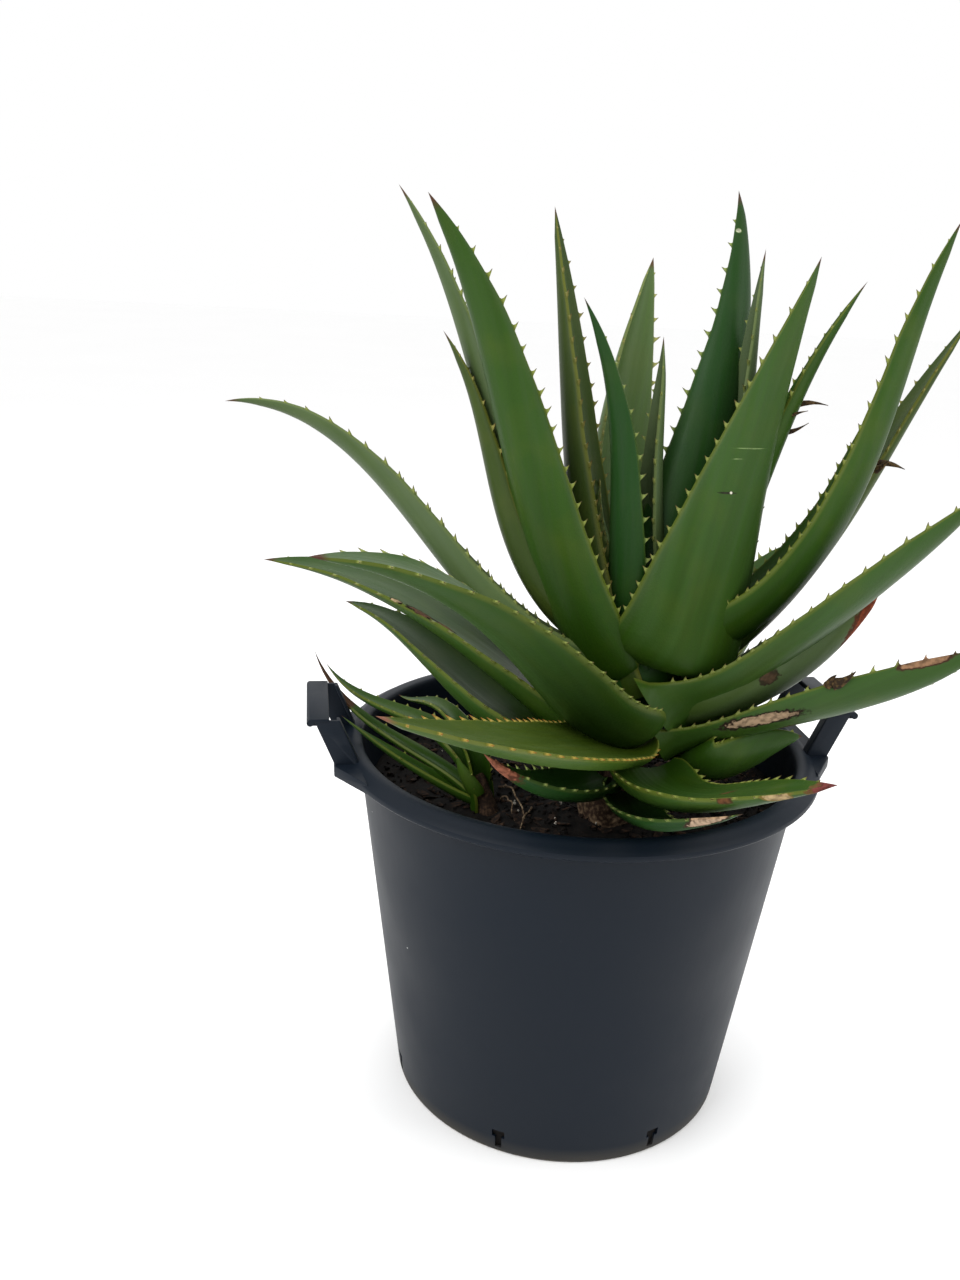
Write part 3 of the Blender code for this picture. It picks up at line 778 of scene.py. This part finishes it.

# A leaf's tone is partly painted light and shade, matched to how lit or shaded that leaf looks
LEAVES = (
    LeafForm("leaf_front_broad", -63, 126, (92, 88, 82), 298, 114, 14, 28, -4, 26, 0.55, 45, fullness=0.17,
        grasp=0.07, taper=1.1, tone=Tone.BROAD, marks=(
            Mark(164, -7, 22, 0.9, UNDER, "6c8052", "3f5a2a", 73, 0.15),
            Mark(154, -15, 7, 0.8, UNDER, "6c8052", "3f5a2a", 71, 0.1),
            Mark(130, -15, 11, 1.3, UNDER, "2b2a20", "2b3a1c", 74, 0.1),
            Mark(131, -12.5, 1.9, 1.9, UNDER, "d5d2c0", "4a4a36", 0, 0.1))),
    LeafForm("leaf_right_wide", -10, 91, (48, 54, 58), 267, 80, 33, 3, -29, 19, 1.55, 84, fullness=0.12,
        grasp=0.13, taper=3, tone=Tone.BROAD),
    LeafForm("leaf_left_folded", 229, 76, (27, 17, -14), 308, 100, 16, -9, -7, 28, 0.75, tone=Tone.BROAD),
    LeafForm("leaf_left_tall", 191, 110, (35, 57, 37), 359, 82, 56, 30, 14, 24, 0.6, 60, grasp=0.18),
    LeafForm("leaf_right_long", -11, 69, (36, 35, 47), 229, 54, 31, -54, -21, 24, 1.68, 60, fullness=0.08,
        taper=2.7, tone=Tone.BROAD, marks=(
            Mark(74, -16, 50, 9.5, UNDER, "a38a6e", "21160f", 12, 0.42),
            Mark(90, 5, 12, 2, UNDER, "4a3020", "2f2415", 5, 0.2),
            Mark(188, -9, 44, 6, UPPER, "6e5240", "3a261b", 12, 0.3),
            Mark(192, -9, 34, 5, UNDER, "86664c", "3a261b", 12, 0.3),
            Mark(130, -19.5, 5, 3, UNDER, "30231a", "16120e", 0, 0.1))),
    LeafForm("leaf_left_front", 251, 66, (4, 5, 7), 345, 66, 17, -7, -15, 30, 0.6, 72, fullness=0.18,
        grasp=0.07, taper=2.1, tone=Tone.SUNNED),
    LeafForm("leaf_right_low", -76, 56, (-6, 18, 22), 242, 69, 20, 43, 13, 31, 0.8, fullness=0.17,
        grasp=0.11, taper=1.8, marks=(
            Mark(204, -9, 17, 7, UNDER, "a08a64", "6a5a2c", 13, 0.35),
            Mark(132, 7, 10, 4.5, UPPER, "5a3a22", "3c3418", 25, 0.5),
            Mark(166, -17, 10, 4, UNDER, "5a3a22", "3c3418", 11, 0.5),
            Mark(237, 0, 26, 22, UNDER, "6a3430", "5a4424", 0, 0.4),
            Mark(237, 0, 24, 22, UPPER, "6a3430", "5a4424", 0, 0.4))),
    LeafForm("leaf_right_lowest", -81, 35, (-9, 16, 26), 188, 45, 10, 17, 18, 27, 0.75, 61, fullness=0.16,
        tone=Tone.DEEP, marks=(
            Mark(164, -5, 46, 6, UNDER, "a89078", "34251a", 0, 0.4),
            Mark(164, -5, 44, 8, UPPER, "a08468", "34251a", 0, 0.4))),
    LeafForm("leaf_right_red_tip", -4, 96, (25, 50, 72), 172, 80, 44, -40, 0, 24, 0.9, 70, fullness=0.12,
        grasp=0.15, taper=1.6, tone=Tone.SHEEN_GREYED, marks=(
            Mark(72, -22, 13, 8, UNDER, "4a3a2a", "2f2a1c", 15, 0.5),
            Mark(146, 4, 50, 15, UNDER, "7a3a22", "4a2a1a", -12, 0.3),
            Mark(148, 6, 44, 12, UPPER, "7a3a22", "4a2a1a", -12, 0.3))),
    LeafForm("leaf_left_arch", 179, 116, (-14, 33, -23), 380, 64, 41, 12, -7, tone=Tone.SHEEN_GREYED),
    LeafForm("leaf_centre_tall", -47, 100, (99, 96, 119), 382, 107, 51, 8, 3, 4, 0.85, fullness=0.18,
        taper=1.4, tone=Tone.DEEP, marks=(
            Mark(346, -5, 3.4, 2.6, UNDER, "b9bda0", "4b6034", 0, 0.1),)),
    LeafForm("leaf_right_arch_top", 3, 148, (34, 83, 79), 360, 71, 48, -13, -20),
    LeafForm("leaf_right_arch_low", 25, 123, (38, 70, 68), 360, 52, 40, -3, -7, tone=Tone.OLIVE, marks=(
            Mark(268, 5, 7, 5, UNDER, "6a4426", "4a3a1a", 0, 0.3),)),
    LeafForm("leaf_left_tall_back", 177, 124, (21, 54, 38), 390, 67, 41, 4, 3, tone=Tone.SHEEN_GREYED),
    LeafForm("leaf_rear_left", 171, 96, (55, 66, 63), 365, 76, 43, -6, -9, tone=Tone.OLIVE),
    LeafForm("leaf_inner_dark", 208, 98, (60, 68, 36), 286, 44, 45, 3, 9, tone=Tone.DEEP),
    LeafForm("leaf_left_thin", 182, 136, (-15, 54, 37), 285, 58, 48, 0, -3, tone=Tone.OLIVE),
    LeafForm("leaf_behind_centre", 16, 141, (79, 100, 97), 288, 46, 45, -3, -1, tone=Tone.SHEEN_GREYED),
    LeafForm("leaf_right_slim", -1, 135, (79, 85, 68), 295, 48, 46, -2, 3),
    LeafForm("leaf_left_open", 181, 61, (26, 14, -19), 290, 76, 14, -32, -11, 24, marks=(
            Mark(158, 22, 22, 6, UPPER, "5c4230", "1c130d", 172, 0.5),
            Mark(178, 21, 8, 5, UPPER, "a08a6a", "1f160e", 172, 0.4),
            Mark(138, 24, 16, 4, UPPER, "6b4c34", "241a10", 172, 0.5))),
    LeafForm("leaf_left_low", 179, 61, (-24, 24, -10), 220, 76, 24, -27, -17, 26),
    LeafForm("leaf_right_under", 3, 72, (-33, 38, 20), 94, 85, 40, -50, -5, 36, 0.61, 81, fullness=0.16),
    LeafForm("leaf_left_under", 240, 40, (-12, 6, 23), 156, 44, 34, -7, -14, 26, tone=Tone.DEEP, marks=(
            Mark(150, 0, 50, 40, UNDER, "84503c", "4a2a1c", 0, 0.4),
            Mark(150, 0, 44, 40, UPPER, "84503c", "4a2a1c", 0, 0.4))),
    LeafForm("leaf_rear_pale", 136, 153, (27, 73, 77), 305, 77, 45, -13, -15, fullness=0.2, tone=Tone.PALE_SHEEN),
    LeafForm("leaf_rear_small", 21, 147, (137, 108, 107), 218, 39, 48, 2, 3, 10, fullness=0.19,
        tone=Tone.SHEEN_GREYED),
    LeafForm("leaf_rear_arch", 118, 105, (15, 40, 5), 300, 70, 45, 0, 0, 16),
    LeafForm("leaf_rear_right", 62, 100, (15, 42, 10), 290, 70, 45, 0, 0, 16),
    LeafForm("leaf_rear_low_left", 136, 66, (-4, 14, -10), 215, 70, 38, 0, 0, 24, tone=Tone.OLIVE),
    LeafForm("leaf_rear_low_right", 56, 72, (6, 25, 0), 230, 74, 38, 0, 0, 24, tone=Tone.OLIVE),
    LeafForm("leaf_rear_low", 98, 62, (2, 20, 0), 240, 72, 38, 0, 0, 26),
)

OFFSET_LEAVES = (
    LeafForm("offset_leaf_long", 154, 12, (52, 37, 88), 180, 15, 50, 0, 2, 6, dry_from=0.7,
        teeth=(0.5, 0.6)),
    LeafForm("offset_leaf_upper", 147, 4, (117, 23, 64), 192, 24, 50, 0, 2, 6, spines=0.8),
    LeafForm("offset_leaf_lower", 176, 10, (38, 45, 51), 120, 17, 50, 0, 0, 6, teeth=(0.5, 0.6)),
    LeafForm("offset_leaf_back", 126, 20, (148, 15, 12), 162, 18, 50, 0, 0, 6, spines=0.8),
    LeafForm("offset_leaf_sheath", 230, 16, (70, 75, 80), 34, 16, 60, 0, 0, 6, tone=Tone.SUNNED,
        teeth=(0.8, 0.8)),
)

DRY_BASES = tuple(
    LeafForm("dry_base_" + name, azimuth, height, rise, length, width, 60, roll, 0, reach, 0.9, 66,
             fullness=0.06, teeth=(1, 1))
    for name, azimuth, height, rise, length, width, roll, reach in (
        ("front", -104, 3, (66, 78, 88), 34, 30, 6, 17),
        ("left", -152, 7, (62, 74, 80), 38, 28, -8, 16),
        ("right", -58, 9, (60, 72, 84), 32, 30, 10, 16),
        ("side", -15, 4, (48, 66, 70), 36, 26, -6, 16),
        ("rear", 120, 6, (58, 70, 80), 36, 32, 8, 16),
        ("rear_left", 175, 3, (55, 70, 80), 34, 28, 6, 16)))


@dataclass(frozen=True)
class DryTip:
    """The dead, shrivelled end of a small leaf or a torn flake, on the margin of a living leaf.

    Share and side place it on that leaf; its run, curl and thickness are millimetres.
    """

    leaf: str
    share: float
    side: float
    run: tuple[float, float, float]
    curl: float
    thick: float
    bends = 8
    sides = 9
    rooted = 0.12
    knobs = 0.22
    thinnest = 0.25

    def grow(self, bm: BMesh) -> None:
        """Sweep the shrivelled end from just inside its leaf, with a bent and knobbly run."""
        form = next(one for one in LEAVES if one.name == self.leaf)
        root = Blade(form, MAIN).row(self.share, [(self.side, 0.5)])[0]
        run = Vector(self.run) * MM
        path, radii = [], []
        for k in range(self.bends + 1):
            t = k / self.bends
            rise = Vector((0, 0, self.curl * MM * sin(pi * t)))
            path.append(root + run * (t - self.rooted) + rise)
            knob = 1 + self.knobs * noise.noise(Vector((self.share * 40, self.thick, 5 * t)))
            radii.append(max(self.thinnest, self.thick * knob * (1 - t ** 1.6)) * MM)
        tube(bm, path, radii, self.sides)


DRY_TIPS = (
    DryTip("leaf_right_slim", 0.665, 0.2, (26, -4, 3), 2.5, 2.4),
    DryTip("leaf_right_slim", 0.6, 0.3, (20, -4, 9), -2.0, 2.2),
    DryTip("leaf_right_slim", 0.63, -0.5, (14, -6, 7), 1.0, 1.6),
    DryTip("leaf_right_arch_low", 0.62, -0.9, (20, -3, -3), 1.5, 2.6),
    DryTip("leaf_right_arch_low", 0.605, -0.95, (8, -6, 9), -1.0, 3.0),
    DryTip("leaf_right_long", 0.57, -0.97, (13, -4, 12), -2.0, 4.2),
    DryTip("leaf_right_long", 0.545, -0.97, (5, -2, 10), 1.0, 3.0),
)


@dataclass
class Stem:
    """The woody foot of a shoot, ringed by old leaf scars."""

    name: str
    shoot: Shoot
    buried: float
    sides: int = 28
    rings: int = 44
    scar_pitch: float = 6 * MM
    scar_depth: float = 0.9 * MM
    grain: float = 9 * MM
    grain_depth: float = 1.2 * MM

    def build(self, bark: Material) -> Object:
        """Sweep the stem's uneven section up its shoot.

        Args:
            bark: its material
        Returns:
            the object
        """
        turn = self.shoot.turn()
        rings = []
        for k in range(self.rings + 1):
            height = -self.buried + (self.shoot.length + self.buried) * k / self.rings
            share = max(0.0, height / self.shoot.length)
            radius = self.shoot.radius + (self.shoot.top_radius - self.shoot.radius) * share
            radius -= self.scar_depth * (0.5 + 0.5 * sin(2 * pi * height / self.scar_pitch))
            ring = []
            for j in range(self.sides):
                out = spoke(2 * pi * j / self.sides)
                rough = noise.noise(out * 3 + Vector((0, 0, height / self.grain))) * self.grain_depth
                ring.append(self.shoot.at(height) + turn @ (out * (radius + min(0.0, rough))))
            rings.append(ring)
        bm = bmesh.new()
        sweep(bm, rings)
        return as_object("bark_" + self.name, bm, bark)


@dataclass
class Plant:
    """The aloe: its two stems and every leaf."""

    chance: random.Random = field(default_factory=lambda: random.Random(11))

    def build(self) -> None:
        """Make the stems and the leaves, each in place of its CAD node."""
        bark = Crumbly("dry_aloe_bark", "241a14", "5a4534", 2.2, 0.9).make()
        for stem in (Stem("stem", MAIN, 90 * MM), Stem("offset_stem", OFFSET, 45 * MM, 20, 24)):
            dress(stem.build(bark), "stem_bark", stem.name)
        for shoot, forms in ((MAIN, LEAVES), (OFFSET, OFFSET_LEAVES)):
            for form in forms:
                skin = AloeSkin(form.name, form.tone, form.dry_from, form.marks).make()
                dress(Leaf(form, shoot, self.chance).build(skin), "leaf_skin", form.name)
        paper = Crumbly("papery_dead_aloe_leaf", "33241a", "8c765c", 3.0, 0.5).make()
        for form in DRY_BASES:
            dress(Leaf(form, MAIN, self.chance).build(paper), "stem_bark")
        bm = bmesh.new()
        for tip in DRY_TIPS:
            tip.grow(bm)
        husk = Crumbly("shrivelled_leaf_husk", "2a2016", "6b5534", 2.0, 0.5).make()
        dress(as_object("dry_tips", bm, husk), "leaf_skin")


# The pot and its bed


@dataclass
class NurseryPot:
    """The moulded pot: a tapered wall under a rolled rim, with two handles and drain slots."""

    height: float = 290 * MM
    base_radius: float = 132.5 * MM
    wall_top_radius: float = 168.5 * MM
    wall: float = 2.6 * MM
    collar: float = 277 * MM
    sides: int = 144
    sharp: float = 30
    slots: int = 7
    slot_start: float = 202.5
    handle_azimuths: tuple[float, float] = (194.0, 14.0)
    # Half the width, foot and top of a drain slot's stem and bar, in millimetres
    slot_bars = ((2.6, 4.6, 19.0), (5.0, 14.5, 21.0))
    slot_depth = 14 * MM
    slot_edge = 0.3 * MM
    # A handle stands along X, with Y along the rim.  An arm and its flange: reach and thickness
    arm_bars = ((18.2 * MM, 3 * MM), (2.4 * MM, 8 * MM))
    arm_root = 171.3 * MM
    arm_foot = 280 * MM
    arm_top = 321 * MM
    arm_lean = 0.427
    arm_edge = 0.7 * MM
    grip_half = 40 * MM
    # The grip's plates in millimetres: near and far edge, overhang past the arms, foot, top and rounding
    grip_plates = ((192, 206.5, 0.4, 319.6, 322.5, 0.9), (193, 205.5, -0.8, 317, 320, 0.6))
    lip_half = 40.4 * MM
    lip_reach = 205.6 * MM
    lip_height = 319.6 * MM
    lip_radius = 2.6 * MM
    lip_sides = 14
    ledge_outline = ((171, -42), (166, -74), (188.5, -42), (188.5, 42), (166, 74), (171, 42))
    ledge_foot = 278.5 * MM
    ledge_thick = 8.4 * MM
    ledge_edge = 0.8 * MM

    def wall_radius(self, z: float) -> float:
        """Outer radius of the tapered wall at a height."""
        return self.base_radius + (self.wall_top_radius - self.base_radius) * z / self.collar

    def profile(self) -> list[tuple[float, float]]:
        """The section as (radius, height) in millimetres, from the underside round to the floor."""
        walls = [(self.wall_radius(z * MM) / MM, z) for z in (4, 12, 24, 60, 110, 160, 210, 250, 270, 275.5)]
        rim = [(169.4, 276.8), (178.5, 278.1), (181.8, 279.2), (183.3, 280.8), (183.6, 282.4), (183.1, 284.0),
               (181.6, 285.3), (179.6, 286.5), (177.0, 288.0), (175.2, 289.2), (173.4, 289.9), (171.4, 290.0),
               (169.4, 289.9), (167.5, 289.3), (166.4, 288.2), (165.9, 286.6), (165.4, 282.0)]
        inside = [(radius - self.wall / MM, z) for radius, z in walls[:-1][::-1]]
        foot = [(0.0, 1.4), (112.0, 1.4), (116.0, 0.0), (130.4, 0.0), (131.8, 0.6), (132.6, 1.8)]
        return foot + walls + rim + inside + [(0.0, 4.0)]

    def block(self, low: Sequence[float], high: Sequence[float], edge: float,
              lean: float = 0.0) -> BMesh:
        """A rounded box that may lean outwards along X as it rises past the rim.

        Args:
            low: its lowest corner
            high: its highest corner
            edge: the width of its rounded edges
            lean: how far it leans for each metre of height above the rim
        Returns:
            its mesh
        """
        bm = bmesh.new()
        bmesh.ops.create_cube(bm, size=1)
        bmesh.ops.scale(bm, vec=[b - a for a, b in zip(low, high)], verts=bm.verts)
        bmesh.ops.translate(bm, vec=[(a + b) / 2 for a, b in zip(low, high)], verts=bm.verts)
        for v in bm.verts:
            v.co.x += lean * (v.co.z - self.height)
        round_edges(bm, edge)
        return bm

    def part(self, name: str, bm: BMesh, azimuth: float,
             *materials: Material) -> Object:
        """Turn a part's mesh to its azimuth and make it an object."""
        bm.transform(Matrix.Rotation(radians(azimuth), 4, "Z"))
        return as_object(name, bm, *materials)

    def slot_cutter(self, azimuth: float) -> Object:
        """A T-shaped drain slot that stands across the wall's foot."""
        near, far = self.base_radius - self.slot_depth, self.base_radius + self.slot_depth
        boxes = [self.block((near, -half * MM, foot * MM), (far, half * MM, top * MM), self.slot_edge)
                 for half, foot, top in self.slot_bars]
        stem, bar = (self.part("slot_cutter", box, azimuth) for box in boxes)
        boolean(stem, [bar], "UNION")
        return stem

    def ledge(self) -> BMesh:
        """The winged plate that joins a handle to the rim."""
        bm = bmesh.new()
        corners = [bm.verts.new((x * MM, y * MM, self.ledge_foot)) for x, y in self.ledge_outline]
        risen = bmesh.ops.extrude_face_region(bm, geom=[bm.faces.new(corners)])["geom"]
        risen = [item for item in risen if isinstance(item, BMVert)]
        bmesh.ops.translate(bm, vec=(0, 0, self.ledge_thick), verts=risen)
        bmesh.ops.recalc_face_normals(bm, faces=bm.faces[:])
        round_edges(bm, self.ledge_edge)
        return bm

    def lip(self) -> BMesh:
        """The rounded lip along the grip's outer edge."""
        bm = bmesh.new()
        path = [Vector((self.lip_reach, y, self.lip_height)) for y in (-self.lip_half, 0, self.lip_half)]
        tube(bm, path, [self.lip_radius] * len(path), self.lip_sides)
        return bm

    def handle(self, azimuth: float, plastic: Material) -> list[Object]:
        """One handle: two leaning arms with flanges, the grip's two plates, its ledge and its lip."""
        half, root = self.grip_half, self.arm_root
        meshes = []
        for side in (-1, 1):
            for reach, thick in self.arm_bars:
                low, high = sorted((side * half, side * (half - thick)))
                meshes.append(self.block((root, low, self.arm_foot), (root + reach, high, self.arm_top),
                                         self.arm_edge, self.arm_lean))
        for near, far, over, foot, top, edge in self.grip_plates:
            wide = half + over * MM
            meshes.append(self.block((near * MM, -wide, foot * MM), (far * MM, wide, top * MM), edge * MM))
        meshes += [self.ledge(), self.lip()]
        return [self.part("handle_part", bm, azimuth, plastic) for bm in meshes]

    def build(self) -> None:
        """Make the pot in place of its CAD node."""
        plastic = PotPlastic().make()
        section = [(radius * MM, z * MM) for radius, z in self.profile()]
        pot = as_object("nursery_pot", spun(section, self.sides), plastic)
        for azimuth in self.handle_azimuths:
            boolean(pot, self.handle(azimuth, plastic), "UNION")
        boolean(pot, [self.slot_cutter(self.slot_start + 360 * k / self.slots) for k in range(self.slots)],
                "DIFFERENCE")
        pot.data.shade_smooth()
        pot.data.set_sharp_from_angle(angle=radians(self.sharp))
        dress(pot, "container_plastic", "pot")


@dataclass
class Bed:
    """The potting mix: an uneven top over a plain plug, with bark chips, crumbs and dry stalks."""

    top: float = 247 * MM
    radius: float = 161.0 * MM
    foot: float = 4.4 * MM
    brow: float = 8 * MM
    brow_inset: float = 1 * MM
    foot_inset: float = 30 * MM
    sides: int = 150
    circles: int = 46
    chance: random.Random = field(default_factory=lambda: random.Random(29))
    # Wavelength and height of each unevenness in millimetres, and where its noise is read
    waves = ((60, 4, 0), (11, 2.2, 7), (3.4, 0.9, 0))
    heap = 9 * MM
    heap_radius = 42 * MM
    bit_margin = 6 * MM
    bit_lift = 0.3
    bit_lumps = (0.75, 1.2)
    # Where each stalk starts and ends, the height of its crest and its radius, in millimetres
    stalks = ((-58, -12, -34, -70, 12, 1.0), (-54, -34, -41, -74, 8, 0.8), (-30, -52, -36, -92, 5, 0.9),
              (112, 27, 138, 43, 4, 0.8), (-120, -60, -84, -78, 3, 1.1), (-100, -92, -66, -104, 2, 0.7),
              (48, 70, 96, 40, 6, 1.2), (-60, 88, -10, 112, 4, 1.0))
    stalk_bends = 12
    stalk_sides = 8
    stalk_wander = 4 * MM
    stalk_taper = 0.55

    def level(self, x: float, y: float) -> float:
        """Height of the uneven soil at a place: heaped at the stem, and waved all over."""
        spot = Vector((x, y, 0))
        level = self.top
        for wavelength, height, start in self.waves:
            level += noise.noise(spot / (wavelength * MM) + Vector((start, 0, 0))) * height * MM
        away = (x - MAIN.foot.x) ** 2 + (y - MAIN.foot.y) ** 2
        return level + self.heap * exp(-away / self.heap_radius ** 2)

    def plug(self, mix: Material) -> Object:
        """Spin the soil's section and raise its top to the uneven level."""
        line = [(self.radius * k / self.circles, self.top) for k in range(self.circles + 1)]
        line += [(self.radius - self.brow_inset, self.top - self.brow),
                 (self.radius - self.foot_inset, self.foot), (0.0, self.foot)]
        bm = spun(line, self.sides)
        for v in bm.verts:
            if abs(v.co.z - self.top) < MERGE:
                v.co.z = self.level(v.co.x, v.co.y)
        return as_object("soil_bed", bm, mix, sharp=180)

    def spot(self, reach: float) -> Vector:
        """A random place on the soil, at most the reach from its centre."""
        spot = spoke(self.chance.uniform(0, 2 * pi)) * (reach * sqrt(self.chance.random()))
        spot.z = self.level(spot.x, spot.y)
        return spot

    def scatter(self, name: str, stuff: Material, count: int, low: Sequence[float],
                high: Sequence[float], tilt: float) -> Object:
        """Strew splinters or crumbs over the soil.

        Args:
            name: the piece's name
            stuff: its material
            count: how many
            low: least length, width and thickness in millimetres
            high: greatest length, width and thickness
            tilt: how far a bit may lean, in degrees
        Returns:
            all of them as one object
        """
        bm = bmesh.new()
        for _ in range(count):
            size = [self.chance.uniform(a, b) * MM for a, b in zip(low, high)]
            spot = self.spot(self.radius - self.bit_margin - size[0] / 2)
            lean = [radians(self.chance.uniform(-tilt, tilt)) for _ in range(2)]
            turn = Matrix.Rotation(self.chance.uniform(0, 2 * pi), 4, "Z")
            turn = turn @ Matrix.Rotation(lean[0], 4, "X") @ Matrix.Rotation(lean[1], 4, "Y")
            made = bmesh.ops.create_icosphere(bm, subdivisions=1, radius=0.5)["verts"]
            for v in made:
                v.co *= self.chance.uniform(*self.bit_lumps)
            place = Matrix.Translation(spot + Vector((0, 0, size[2] * self.bit_lift))) @ turn
            bmesh.ops.transform(bm, matrix=place @ Matrix.Diagonal((*size, 1)), verts=made)
        return as_object(name, bm, stuff, sharp=25)

    def sticks(self, stuff: Material) -> Object:
        """Lay dry flower stalks and roots on the soil, each bent over a low crest."""
        bm = bmesh.new()
        for x0, y0, x1, y1, crest, thick in self.stalks:
            path, radii = [], []
            for k in range(self.stalk_bends + 1):
                t = k / self.stalk_bends
                x, y = (x0 + (x1 - x0) * t) * MM, (y0 + (y1 - y0) * t) * MM
                wander = [noise.noise(Vector((4 * t, *key))) for key in ((x0, 0), (y0, 9))]
                lift = (thick * 0.6 + crest * sin(pi * t)) * MM
                place = Vector((x, y, self.level(x, y) + lift))
                path.append(place + Vector((*wander, 0)) * self.stalk_wander)
                radii.append(thick * MM * (1 - self.stalk_taper * t))
            tube(bm, path, radii, self.stalk_sides)
        return as_object("dry_stalks", bm, stuff)

    def build(self) -> None:
        """Make the bed in place of the soil node, and what lies on it."""
        # The peat's near-black colours are partly painted shade, darkened towards the black shadow inside the
        # pot
        mix = Crumbly("peat_potting_mix_darkened_as_shade", "090807", "1d1713", 2.5, 1.2).make()
        bark = Crumbly("composted_bark", "15100d", "453327", 3.0, 0.6).make()
        pumice = Crumbly("pumice_grit", "9a948a", "d8d2c4", 1.5, 0.4).make()
        straw = Crumbly("dry_flower_stalk", "4a3a2c", "a08c70", 2.0, 0.3).make()
        dress(self.plug(mix), "potting_soil", "soil")
        dress(self.sticks(straw), "potting_soil")
        for bits in (("bark_chips", bark, 420, (6, 3, 1), (19, 8, 3.4), 24),
                     ("peat_crumbs", mix, 1300, (1.6, 1.6, 1.2), (5, 4, 3.5), 60),
                     ("pumice_bits", pumice, 60, (1.2, 1.2, 1), (3.6, 3, 2.4), 60)):
            dress(self.scatter(*bits), "potting_soil")


# The studio


@dataclass
class Studio:
    """A pale floor, soft lights round the plant, and the camera at the photograph's place."""

    camera_place: Vector = Vector((0.0, -0.8495, 0.6411))
    yaw: float = -0.093
    pitch: float = 0.316
    roll: float = 0.044
    focal: float = 1174.15
    picture_height: float = 1280.0
    sensor: float = 36.0
    floor_half: float = 12.0
    aim: Vector = Vector((0, 0, 0.3))
    # Place and size of each lamp in metres, and its power in watts
    lamps = (((-0.9, -0.9, 1.5), 1.1, 16.0), ((1.2, -0.3, 1.2), 0.9, 7.0), ((0.1, 0.9, 1.6), 1.2, 9.0))

    def camera(self) -> None:
        """Set the camera by its yaw, pitch and roll."""
        ahead = Vector((sin(self.yaw) * cos(self.pitch), cos(self.yaw) * cos(self.pitch),
                        -sin(self.pitch)))
        right = Vector((cos(self.yaw), -sin(self.yaw), 0))
        up = right.cross(ahead)
        across = right * cos(self.roll) + up * sin(self.roll)
        upward = up * cos(self.roll) - right * sin(self.roll)
        data = bpy.data.cameras.new("camera")
        data.sensor_fit = "VERTICAL"
        data.sensor_height = self.sensor
        data.lens = self.sensor * self.focal / self.picture_height
        made = bpy.data.objects.new("camera", data)
        turn = Matrix((across, upward, -ahead)).transposed().to_4x4()
        made.matrix_world = Matrix.Translation(self.camera_place) @ turn
        bpy.context.scene.collection.objects.link(made)
        bpy.context.scene.camera = made

    def floor(self) -> None:
        """Lay a wide pale floor under the pot."""
        f = Finish("pale_studio_floor", Metallic=0.0, IOR=1.45, Specular_IOR_Level=0.1, Roughness=0.9)
        spots = f.add("TexNoise", f.where, 1.5)
        tint = f.add("MapRange", spots, 0.3, 0.7, 0.985, 0.993)
        f.join(f.add("CombineColor", tint, tint, tint), f.shader.inputs["Base Color"])
        bm = bmesh.new()
        bmesh.ops.create_grid(bm, x_segments=2, y_segments=2, size=self.floor_half)
        as_object("studio_floor", bm, f.material)

    def lights(self) -> None:
        """Hang three soft lamps and an even white sky."""
        world = bpy.data.worlds.new("white_room")
        world.use_nodes = True
        sky = world.node_tree.nodes["Background"].inputs
        sky["Color"].default_value = (1, 1, 1, 1)
        sky["Strength"].default_value = 1.0
        bpy.context.scene.world = world
        for k, (place, size, power) in enumerate(self.lamps):
            data = bpy.data.lights.new(f"lamp_{k}", "AREA")
            data.size = size
            data.energy = power
            lamp = bpy.data.objects.new(data.name, data)
            turn = (self.aim - Vector(place)).to_track_quat("-Z", "Y").to_matrix().to_4x4()
            lamp.matrix_world = Matrix.Translation(place) @ turn
            bpy.context.scene.collection.objects.link(lamp)

    def build(self) -> None:
        """Set the whole studio."""
        self.camera()
        self.floor()
        self.lights()
        bpy.context.scene.view_settings.view_transform = "Standard"


def main() -> None:
    """Build the studio, the pot, its bed and the plant."""
    logging.basicConfig(level=logging.INFO, format="%(name)s: %(message)s")
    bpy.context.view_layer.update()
    Studio().build()
    NurseryPot().build()
    Bed().build()
    Plant().build()


if __name__ == "__main__":
    main()
